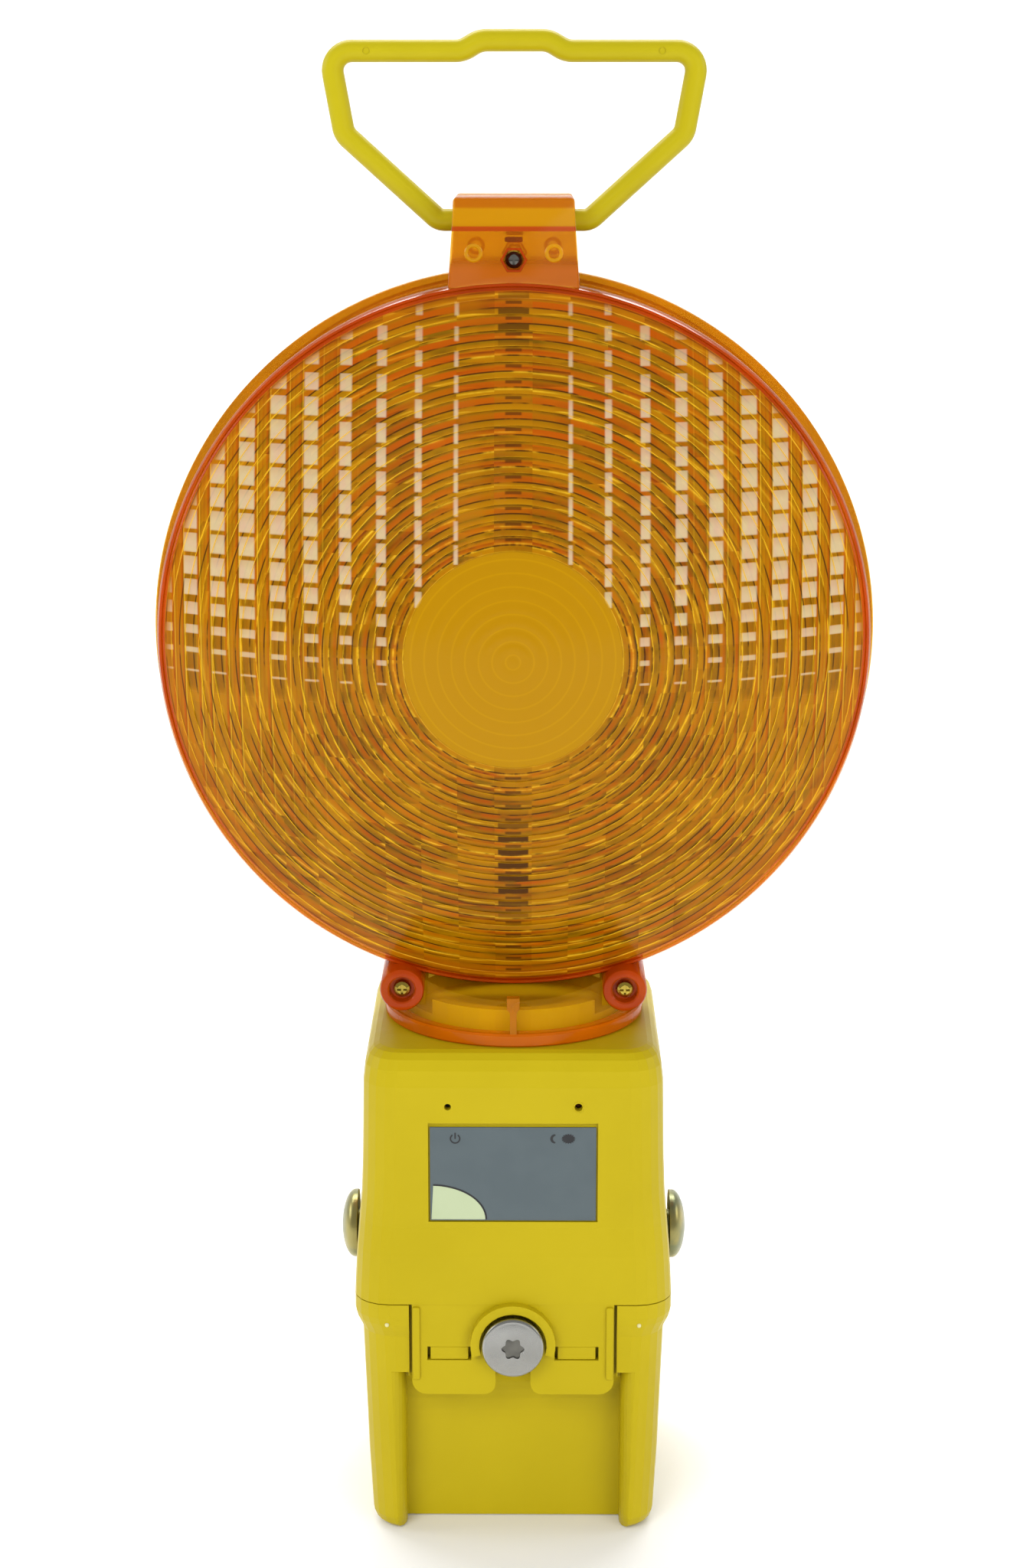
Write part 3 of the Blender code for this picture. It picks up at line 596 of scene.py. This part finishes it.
def lathe(profile, centre, axis, segments, slots=None, relief=None, closed=False):
    """Turn (radius, height) points about an axis; relief lowers single points along it."""
    bm = bmesh.new()
    rings = []
    for radius, height in profile:
        ring = []
        for i in range(segments if radius else 1):
            angle = math.tau * i / segments
            a, b = radius * math.cos(angle), radius * math.sin(angle)
            level = height - (relief(a, b, height) if relief else 0.0)
            place = {"X": (level, a, b), "Y": (a, level, b), "Z": (a, b, level)}[axis]
            ring.append(bm.verts.new(Vector(place) + Vector(centre)))
        rings.append(ring)
    for k, (ring_a, ring_b) in enumerate(zip(rings, rings[1:])):
        strip(bm, ring_a, ring_b, slots[k] if slots else 0)
    if closed:
        strip(bm, rings[-1], rings[0])
    return bm


def prism(outline, low, high, axis="Y"):
    """Extrude a flat outline along an axis."""
    bm = bmesh.new()
    rings = []
    for level in (low, high):
        ring = []
        for a, b in outline:
            ring.append(bm.verts.new({"X": (level, a, b), "Y": (a, level, b), "Z": (a, b, level)}[axis]))
        rings.append(ring)
        bm.faces.new(ring)
    strip(bm, rings[0], rings[1])
    return bm


def arc(cx, cy, radius, start, end, steps):
    """Points on an arc, angles in degrees."""
    points = []
    for i in range(steps + 1):
        angle = math.radians(start + (end - start) * i / steps)
        points.append((cx + radius * math.cos(angle), cy + radius * math.sin(angle)))
    return points


def rounded(half_x, low, high, radius, steps=8, cx=0.0):
    """A rectangle from low to high with rounded corners."""
    points = []
    for x, y, start in ((half_x - radius, high - radius, 0), (radius - half_x, high - radius, 90),
                        (radius - half_x, low + radius, 180), (half_x - radius, low + radius, 270)):
        points += arc(cx + x, y, radius, start, start + 90, steps)
    return points


def cut_away(target, bm):
    """Cut a shape out of an object at once, and leave no helper behind."""
    tool = finish_mesh(target.name + "_tool", bm, [])
    modifier = target.modifiers.new("cut", "BOOLEAN")
    modifier.operation = "DIFFERENCE"
    modifier.object = tool
    bake(target)
    bpy.data.objects.remove(tool)


def bake(obj):
    """Replace an object's mesh by what its modifiers make of it."""
    graph = bpy.context.evaluated_depsgraph_get()
    mesh = bpy.data.meshes.new_from_object(obj.evaluated_get(graph))
    obj.modifiers.clear()
    mesh.set_sharp_from_angle(angle=math.radians(SHARP_DEGREES))
    obj.data = mesh


def soften(obj, width, segments=3, angle=32.0):
    """Round the edges of a moulding."""
    modifier = obj.modifiers.new("soft_edges", "BEVEL")
    modifier.width = width * MM
    modifier.segments = segments
    modifier.limit_method = "ANGLE"
    modifier.angle_limit = math.radians(angle)
    modifier.use_clamp_overlap = True
    modifier.harden_normals = True


def ride(obj, body):
    """Let a piece move with a body."""
    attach(obj, body)
    return obj


def between(side, near, far):
    """Two distances from the parting plane as y values in rising order."""
    return sorted((side * near, side * far))


def mirrored(side, profile):
    """A lathe profile put on one side of the parting plane."""
    return [(radius, side * y) for radius, y in profile]


# ------------------------------------------------------------------------- lens

def sag(radius):
    """Drop of the dome from its apex at a radius."""
    return DOME_R - math.sqrt(DOME_R ** 2 - radius ** 2)


def pillow_relief(side):
    """How far the optics lie below the smooth dome at a point of the lens."""
    edge = LENS_R - 0.8

    def relief(x, z, height):
        radius = math.hypot(x, z)
        if radius > edge or abs(height) < RIM_Y - 2:
            return 0.0
        fade = min(1.0, (edge - radius) / 3.0)
        if radius < DISC_R:
            return side * DISC_RIPPLE * (1 - math.cos(math.tau * radius / DISC_PITCH))
        column = CURVE / COLUMN * math.asin(x / CURVE)
        across = 2 * (column - round(column))
        down = 2 * (z / ROW - round(z / ROW))
        tooth = ((radius - DISC_R) / RING_PITCH) % 1.0
        return side * fade * (PILLOW_ACROSS * across ** 2 + PILLOW_DOWN * down ** 2 + RING_TOOTH * tooth)
    return relief


def optic_radii():
    """Radii of the lens's rows: a quarter ripple apart in the disc, five to each ring tooth."""
    radii = [DISC_PITCH * k / 4 for k in range(int(DISC_R / DISC_PITCH * 4) + 1)] + [DISC_R]
    for k in range(int((LENS_R - DISC_R) / RING_PITCH) + 1):
        for part in (0.03, 0.27, 0.51, 0.75, 0.98):
            radius = DISC_R + RING_PITCH * (k + part)
            if radius < LENS_R - 0.3:
                radii.append(radius)
    return radii


def dome(radii, edge_r, edge_y):
    """Points on the lens's dome, which meets y = edge_y at radius edge_r."""
    return [(radius, edge_y + sag(edge_r) - sag(radius)) for radius in radii]


def lens_shell(name, side):
    """One half of the head's drum with its moulded lens, as a closed shell."""
    inner_r, inner_y = LENS_R - WALL, RIM_Y - 2.2
    front = dome(optic_radii(), LENS_R, RIM_Y + 0.1)
    rim = [(LENS_R, RIM_Y), (LENS_R + 0.2, RIM_Y - 0.3), (LENS_R + 0.4, RIM_Y), (RIM_R - 0.8, RIM_Y)]
    chamfer = [(RIM_R - 0.6, RIM_Y - 0.1), (RIM_R - 0.05, RIM_Y - 1.2)]
    drum = [(RIM_R, RIM_Y - 1.4), (RIM_R, 3.4), (RIM_R + 0.2, 3.0), (RIM_R + 0.6, 2.8),
            (FLANGE_R - 0.5, 2.8), (FLANGE_R - 0.12, 2.6), (FLANGE_R, 2.2), (FLANGE_R, 0.5),
            (FLANGE_R - 0.2, SPLIT)]
    inside = [(RIM_R - WALL, SPLIT), (RIM_R - WALL, RIM_Y - 4), (inner_r, inner_y)]
    inside += dome([inner_r * k / 10 for k in range(9, -1, -1)], inner_r, inner_y)

    # Material slots: 0 optics, 1 red-orange rim, 2 amber wall, 3 glossy chamfer
    profile = front + rim + chamfer + drum + inside
    slots = [0] * (len(front) - 1) + [1] * (len(rim) + 1) + [3] * len(chamfer)
    slots += [2] * len(drum) + [1] * (len(inside) - 1)
    mesh = lathe(mirrored(side, profile), (0, 0, HEAD_Z), "Y", LENS_SEGMENTS, slots, pillow_relief(side))
    shell = finish_mesh(name, mesh, [optics, amber_rim, amber_wall, amber_edge], 25.0)
    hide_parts(name.replace("_lens", "_lens_shell"))
    return ride(shell, "head")


lens_shell("front_lens", -1)
lens_shell("rear_lens", 1)


# ------------------------------------------------------------- neck and bracket

def half_space(side):
    """A block that holds everything on the far side of a half shell's parting plane."""
    far = [(-150, 100), (150, 100), (150, 400), (-150, 400)]
    near, end = sorted((side * SPLIT, -side * 120))
    return prism(far, near, end, "Y")


def rod(radius, half_length, centre, axis, segments):
    """A round cutter centred on a point."""
    profile = [(0, -half_length), (radius, -half_length), (radius, half_length), (0, half_length)]
    return lathe(profile, centre, axis, segments)


def neck_body(name, side):
    """Half of the neck, hollow and open below, cut to the drum's curve."""
    middle = (0, 0, HEAD_Z)
    outer = [(0, RING_HIGH - 1), (NECK_R, RING_HIGH - 1), (NECK_R, NECK_TOP), (0, NECK_TOP)]
    body = finish_mesh(name, lathe(outer, (0, 0, 0), "Z", 160), [amber_neck])
    cut_away(body, rod(RIM_R + 0.02, 70, middle, "Y", 240))

    inner = [(0, RING_LOW - 5), (NECK_INSIDE, RING_LOW - 5), (NECK_INSIDE, NECK_TOP), (0, NECK_TOP)]
    inside = finish_mesh(name + "_inside", lathe(inner, (0, 0, 0), "Z", 160), [])
    cut_away(inside, rod(RIM_R + WALL, 71, middle, "Y", 240))
    cutter = bmesh.new()
    cutter.from_mesh(inside.data)
    bmesh.ops.scale(cutter, verts=cutter.verts, vec=(1 / MM, 1 / MM, 1 / MM))
    bpy.data.objects.remove(inside)
    cut_away(body, cutter)
    cut_away(body, half_space(side))
    ride(body, "head")


def neck_rib(name, side):
    """The upright rib with a wider head in the neck's middle."""
    stem = RING_HIGH + 7.0
    outline = [(-0.9, RING_HIGH - 0.5), (0.9, RING_HIGH - 0.5), (0.9, stem - 1.0), (1.7, stem),
               (1.7, stem + 3.0), (-1.7, stem + 3.0), (-1.7, stem), (-0.9, stem - 1.0)]
    rib = prism(outline, *between(side, NECK_R - 2, NECK_R + 0.5))
    ride(finish_mesh(name, rib, [amber_rib]), "head")


def neck_ring(name, side):
    """Half of the ring at the neck's foot."""
    profile = [(NECK_INSIDE, RING_LOW), (RING_R - 0.4, RING_LOW), (RING_R, RING_LOW + 0.4),
               (RING_R, RING_HIGH - 0.5), (RING_R - 0.5, RING_HIGH), (NECK_INSIDE, RING_HIGH)]
    ring = finish_mesh(name, lathe(profile, (0, 0, 0), "Z", 160, closed=True), [amber_ring])
    cut_away(ring, half_space(side))
    ride(ring, "head")


def round_pair(name, side, x, z, profile, segments, material):
    """Two turned pieces on a half shell, left and right of its middle."""
    for end, place in (("left", -x), ("right", x)):
        turning = lathe(mirrored(side, profile), (place, 0, z), "Y", segments, closed=True)
        ride(finish_mesh(name + end, turning, [material]), "head")


def neck(name, side):
    """Half of the neck under the drum, with its rib, base ring and screw bosses."""
    neck_body(name, side)
    neck_rib(name + "_rib", side)
    neck_ring(name + "_ring", side)
    boss = [(SCREW_HOLE_R, 3.0), (BOSS_R, 3.0), (BOSS_R, BOSS_Y - 0.8), (BOSS_R - 0.3, BOSS_Y - 0.2),
            (BOSS_R - 0.8, BOSS_Y), (3.9, BOSS_Y), (3.5, BOSS_Y - 0.4), (3.2, BOSS_Y - 2.6),
            (SCREW_HOLE_R, BOSS_Y - 2.6)]
    round_pair(name + "_boss_", side, BOSS_X, BOSS_Z, boss, 64, amber_rim)


def hexagon(side, radius, near, far):
    """A six-sided block round the bracket's screw."""
    return prism(arc(0, BRACKET_SCREW_Z, radius, 0, 300, 5), *between(side, near, far))


def bracket_body(name, side):
    """Half of the bracket, with the bar's tunnel, the screw's seat and its hole."""
    corner_x, corner_z = BRACKET_HEAD - 1.2, BRACKET_TOP - 1
    base_z = HEAD_Z + RIM_R - 2.0
    outline = [(-BRACKET_FOOT, base_z), (BRACKET_FOOT, base_z), (BRACKET_HEAD, BRACKET_TOP - 6)]
    outline += arc(corner_x, corner_z, 1.0, 0, 90, 4) + arc(-corner_x, corner_z, 1.0, 90, 180, 4)
    outline += [(-BRACKET_HEAD, BRACKET_TOP - 6)]
    body = finish_mesh(name, prism(outline, *between(side, SPLIT, BRACKET_Y)), [amber_bracket])
    soften(body, 0.7)
    bake(body)
    cut_away(body, rod(TUNNEL_R, 40, (0, 0, PIVOT_Z), "X", 48))
    cut_away(body, hexagon(side, SEAT_R + 0.05, BRACKET_Y - 2.6, 40))
    cut_away(body, rod(SCREW_HOLE_R, 60, (0, 0, BRACKET_SCREW_Z), "Y", 32))
    ride(body, "head")


def bracket(name, side):
    """Half of the handle bracket on top of the drum, with its small mouldings: the screw's seat, pegs whose
    gold colour is a painted glint, and a dark piece of painted shade in the window above the screw.
    """
    bracket_body(name, side)
    face = BRACKET_Y + 0.02
    seat = finish_mesh(name + "_seat", hexagon(side, SEAT_R, face - 2.5, face), [amber_rim])
    cut_away(seat, hexagon(side, SEAT_R - 0.6, 10, 40))
    ride(seat, "head")

    # Painted shade: a dark piece stands in the window above the screw, in place of a cut.
    outline = rounded(2.3, BRACKET_SCREW_Z + 4.6, BRACKET_SCREW_Z + 5.9, 0.3, 4)
    window = prism(outline, *between(side, face - 1.0, face))
    ride(finish_mesh(name + "_window", window, [amber_painted_shade]), "head")
    # Painted glints: the pegs' rings are coloured bright gold.
    peg = [(1.4, face - 2.0), (2.4, face - 2.0), (2.4, face), (2.15, face + 0.25), (1.65, face + 0.25),
           (1.4, face)]
    round_pair(name + "_peg_", side, PEG_X, BRACKET_SCREW_Z + 1.8, peg, 48, amber_painted_glint)


for end, side in (("front", -1), ("rear", 1)):
    neck(end + "_neck", side)
    bracket(end + "_bracket", side)


# ----------------------------------------------------------------------- handle

def fillet(corners, radii, steps):
    """A closed path with rounded corners; a radius of 0 keeps the corner."""
    points = []
    for i, (corner, radius) in enumerate(zip(corners, radii)):
        here = Vector(corner)
        before = (Vector(corners[i - 1]) - here).normalized()
        after = (Vector(corners[(i + 1) % len(corners)]) - here).normalized()
        half = before.angle(after) / 2
        centre = here + (before + after).normalized() * (radius / math.sin(half))
        start = here + before * (radius / math.tan(half)) - centre
        end = here + after * (radius / math.tan(half)) - centre
        sweep = start.angle_signed(end)
        for k in range(steps + 1):
            points.append(centre + Matrix.Rotation(-sweep * k / steps, 2) @ start)
    return points


def handle():
    """The bent bar, with a moulded mark near each upper corner."""
    half = [(19.9, 0.0), (44.6, 22.2), (48.4, BAR_TOP), (13.5, BAR_TOP), (9.0, BAR_TOP + 2.7)]
    radii = [4.0, 5.0, 5.0, 7.0, 7.0]
    corners = half + [(-x, z) for x, z in reversed(half)]
    path = fillet(corners, radii + radii[::-1], 10)
    bm = bmesh.new()
    rings = []
    for i, point in enumerate(path):
        tangent = (path[(i + 1) % len(path)] - path[i - 1]).normalized()
        across = Vector((tangent.y, -tangent.x))
        ring = []
        for k in range(BAR_SIDES):
            angle = math.tau * k / BAR_SIDES
            place = point + across * BAR_R * math.cos(angle)
            ring.append(bm.verts.new((place.x, BAR_R * math.sin(angle), PIVOT_Z + place.y)))
        rings.append(ring)
    for ring_a, ring_b in zip(rings, rings[1:] + rings[:1]):
        strip(bm, ring_a, ring_b)
    bar = finish_mesh("handle_bar", bm, [lemon], 60.0)
    for x in (-38.5, 38.5):
        dimple = [(0, -4), (1.1, -4), (0.9, 0.35 - BAR_R), (0, 0.4 - BAR_R)]
        cut_away(bar, lathe(dimple, (x, 0, PIVOT_Z + BAR_TOP), "Y", 24))
    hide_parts("carry_handle")
    return ride(bar, "handle")


handle()


# ------------------------------------------------------------------ bolts

def turned(name, node, profile, centre, axis, segments, material, body):
    """A finely turned fastener that stands for a coarser node."""
    piece = finish_mesh(name, lathe(profile, centre, axis, segments), [material], 25.0)
    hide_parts(node)
    return ride(piece, body)


def lobed(radius, depth):
    """Outline of the lock bolt's six-lobe socket."""
    outline = []
    for i in range(72):
        angle = math.tau * i / 72
        reach = radius + depth * math.cos(6 * angle)
        outline.append((reach * math.cos(angle), LOCK_Z + reach * math.sin(angle)))
    return outline


def lock_bolt():
    """The round-headed bolt that closes the cover's tab, with a dark floor in its socket as painted shade.
    """
    edge = LOCK_R - 0.9
    head = [(0, LOCK_FACE), (LOCK_R - 1.7, LOCK_FACE), (LOCK_R - 1.3, LOCK_FACE + 0.15)]
    head += [(edge + a, LOCK_FACE + 1.05 + b) for a, b in arc(0, 0, 0.9, 260, 360, 8)]
    head += [(LOCK_R, LOCK_SEAT - 0.1), (LOCK_R - 0.1, LOCK_SEAT)]
    shank = [(SHANK_R, LOCK_SEAT), (SHANK_R, LOCK_SEAT + 10.8), (3.2, bolt_high.y), (0, bolt_high.y)]
    bolt = turned("lock_screw", "lock_bolt", head + shank, (0, 0, LOCK_Z), "Y", 128, steel_turned,
                  "lock_bolt")
    outline = lobed(2.75, 0.38)
    cut_away(bolt, prism(outline, LOCK_FACE - 1, LOCK_FACE + 2.4, "Y"))
    # Painted shade: a dark piece fills the socket below its first half millimetre.
    socket = finish_mesh("lock_socket_shade", prism(outline, LOCK_FACE + 0.5, LOCK_FACE + 2.5, "Y"), [dark_steel])
    ride(socket, "lock_bolt")


def side_bolt(end, side):
    """A mushroom-headed bolt in the cover's side."""
    low, high = box_mm("side_bolt_" + end)
    centre = (0, (low.y + high.y) / 2, (low.z + high.z) / 2)
    outer = max(abs(low.x), abs(high.x))
    seat = outer - 4.6
    profile = [(0, outer)]
    for degrees in range(6, 91, 6):
        angle = math.radians(degrees)
        profile.append((SIDE_R * math.sin(angle), seat + 0.9 + 3.7 * math.cos(angle)))
    profile += [(SIDE_R, seat + 0.1), (SIDE_R - 0.1, seat)]
    profile += [(SHANK_R, seat), (SHANK_R, SHANK_END), (0, SHANK_END)]
    turned("side_screw_" + end, "side_bolt_" + end, mirrored(side, profile), centre, "X", 96,
           olive_zinc, "cover")


lock_bolt()
side_bolt("left", -1)
side_bolt("right", 1)


# ------------------------------------------------------------- label and details

def label_sheet(name, outline, back, front, material):
    """A thin flat piece on the label plate; back and front are heights over the plate's face."""
    sheet = prism(outline, LABEL_FACE - front, LABEL_FACE - back)
    ride(finish_mesh(name, sheet, [material]), "cover")


def label_sign(name, outline):
    """A printed sign beside a switch hole."""
    label_sheet(name, outline, -0.02, 0.05, ink)


def label_quarter(across, up):
    """A quarter ellipse in the label's lower left corner."""
    outline = [(LABEL_LEFT, LABEL_BOTTOM)]
    for degrees in range(0, 91, 4):
        angle = math.radians(degrees)
        outline.append((LABEL_LEFT + across * math.cos(angle), LABEL_BOTTOM + up * math.sin(angle)))
    return outline


def label_marks():
    """The clear window with its outline, and the moon, sun and power signs."""
    label_sheet("label_outline", label_quarter(15.1, 10.1), -0.02, 0.04, ink)
    label_sheet("label_window", label_quarter(14.6, 9.6), 0.03, 0.08, window_film)

    moon = arc(11.3, SIGN_Z, 1.3, 90, 270, 16) + arc(11.75, SIGN_Z, 1.0, 255, 105, 12)
    label_sign("label_moon", moon)
    sun = []
    for i in range(32):
        angle = math.tau * i / 32
        radius = 1.35 if i % 2 else 1.7
        sun.append((14.9 + radius * 1.15 * math.cos(angle), SIGN_Z + radius * 0.85 * math.sin(angle)))
    label_sign("label_sun", sun)
    power = arc(POWER_X, SIGN_Z, 1.45, 125, 415, 24) + arc(POWER_X, SIGN_Z, 1.05, 415, 125, 24)
    label_sign("label_power_arc", power)
    label_sign("label_power_bar", rounded(0.2, SIGN_Z - 0.1, SIGN_Z + 1.7, 0.15, 3, POWER_X))


label_marks()


# -------------------------------------------------- small mouldings on the housing

def moulding(name, outline, front, back, rounding):
    """A small rounded moulding on the cover's tab."""
    piece = finish_mesh(name, prism(outline, front, back), [yellow])
    soften(piece, rounding)
    ride(piece, "cover")


def tab_details():
    """Raised rails along the tab's outer edges and the tongues inside its two windows."""
    box_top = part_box("battery_box")[1][2] / MM
    for end, side in (("left", -1), ("right", 1)):
        rail = rounded(1.0, LOCK_Z - 11.0, box_top - 0.4, 0.5, 4, side * RAIL_X)
        moulding("tab_rail_" + end, rail, TAB_Y - 0.8, TAB_Y + 0.4, 0.35)
        tongue = rounded(5.2, LOCK_Z - 5.4, LOCK_Z - 1.6, 0.3, 4, side * TONGUE_X)
        moulding("tab_tongue_" + end, tongue, TAB_Y + 0.3, TAB_Y + 2.6, 0.3)


def pale_pips():
    """Small pale pips on the collar, one on each side."""
    pip = [(0, COLLAR_Y - 0.75), (0.35, COLLAR_Y - 0.7), (0.55, COLLAR_Y - 0.5), (0.6, COLLAR_Y),
           (0, COLLAR_Y)]
    for end, side in (("left", -1), ("right", 1)):
        turning = lathe(pip, (side * PIP_X, 0, LOCK_Z + 4.8), "Y", 20)
        ride(finish_mesh("pale_pip_" + end, turning, [pale_mark]), "housing")


def sensor_ring():
    """The raised bead round the light sensor's hole."""
    x = (sensor_low.x + sensor_high.x) / 2
    z = (sensor_low.z + sensor_high.z) / 2
    crest = COVER_Y - 0.22
    profile = [(1.15, COVER_Y), (1.3, crest), (1.5, crest), (1.65, COVER_Y)]
    ring = finish_mesh("sensor_bead", lathe(profile, (x, 0, z), "Y", 40, closed=True), [yellow])
    ride(ring, "cover")


pale_mark = moulded("pale_mark", (0.66, 0.62, 0.30), (0.60, 0.56, 0.26))
tab_details()
pale_pips()
sensor_ring()
for name in ("battery_box", "cover_shell"):
    soften(nodes[name], 0.45, 2, 40.0)


# ------------------------------------------------------------ stage, light, camera

def stage():
    """A pale floor that curves up into a backdrop."""
    bm = bmesh.new()
    rows = []
    floor_z, bend_y, bend = -0.3, 900, 500
    path = [(-2500, floor_z)] + arc(bend_y, floor_z + bend, bend, -90, 0, 15) + [(bend_y + bend, 2400)]
    for y, z in path:
        rows.append([bm.verts.new((x, y, z)) for x in (-2600, 2600)])
    for row_a, row_b in zip(rows, rows[1:]):
        strip(bm, row_a, row_b, closed=False)
    surface = Surface("pale_stage", 0.8)
    surface.colour(surface.mix(surface.noise(3.0), (0.90, 0.90, 0.90), (0.87, 0.87, 0.87)))
    finish_mesh("pale_stage", bm, [surface.material], 60.0)


def area_light(name, place, width, depth, energy, mirrored):
    """A soft light aimed at the head; mirrored tells whether glossy surfaces show it."""
    data = bpy.data.lights.new(name, "AREA")
    data.shape = "ELLIPSE"
    data.size = width
    data.size_y = depth
    data.energy = energy
    lamp = bpy.data.objects.new(name, data)
    lamp.location = place
    target = Vector((0, 0, HEAD_Z * MM * 0.8))
    lamp.rotation_euler = (target - Vector(place)).to_track_quat("-Z", "Y").to_euler()
    lamp.visible_glossy = mirrored
    bpy.context.collection.objects.link(lamp)


stage()
area_light("key", (-0.8, -1.7, 1.3), 1.3, 1.3, 23.0, False)
area_light("fill", (1.1, -1.6, 0.6), 1.4, 1.4, 15.0, False)
area_light("top", (-0.1, 0.8, 1.5), 2.4, 0.35, 26.0, True)
area_light("left", (-1.6, 0.1, 0.8), 0.9, 0.9, 7.0, True)
area_light("right", (1.6, 0.1, 0.8), 0.9, 0.9, 5.0, True)
area_light("back", (0.3, 1.6, 1.2), 1.3, 1.3, 22.0, False)

world = bpy.data.worlds.new("studio")
world.use_nodes = True
world.node_tree.nodes["Background"].inputs[0].default_value = (1.0, 1.0, 1.0, 1.0)
world.node_tree.nodes["Background"].inputs[1].default_value = 0.42
bpy.context.scene.world = world

# The camera looks down on the lamp by 13 degrees, from close to its middle plane
CAMERA_PLACE = (0.0042, -0.779, 0.3872)
CAMERA_DOWN = 13.24
CAMERA_TURN = 0.39
camera_data = bpy.data.cameras.new("camera")
camera_data.sensor_width = 36.0
camera_data.lens = 66.5
camera = bpy.data.objects.new("camera", camera_data)
camera.location = CAMERA_PLACE
camera.rotation_euler = (math.radians(90 - CAMERA_DOWN), 0.0, math.radians(CAMERA_TURN))
bpy.context.collection.objects.link(camera)
bpy.context.scene.camera = camera
bpy.context.scene.view_settings.view_transform = "Standard"
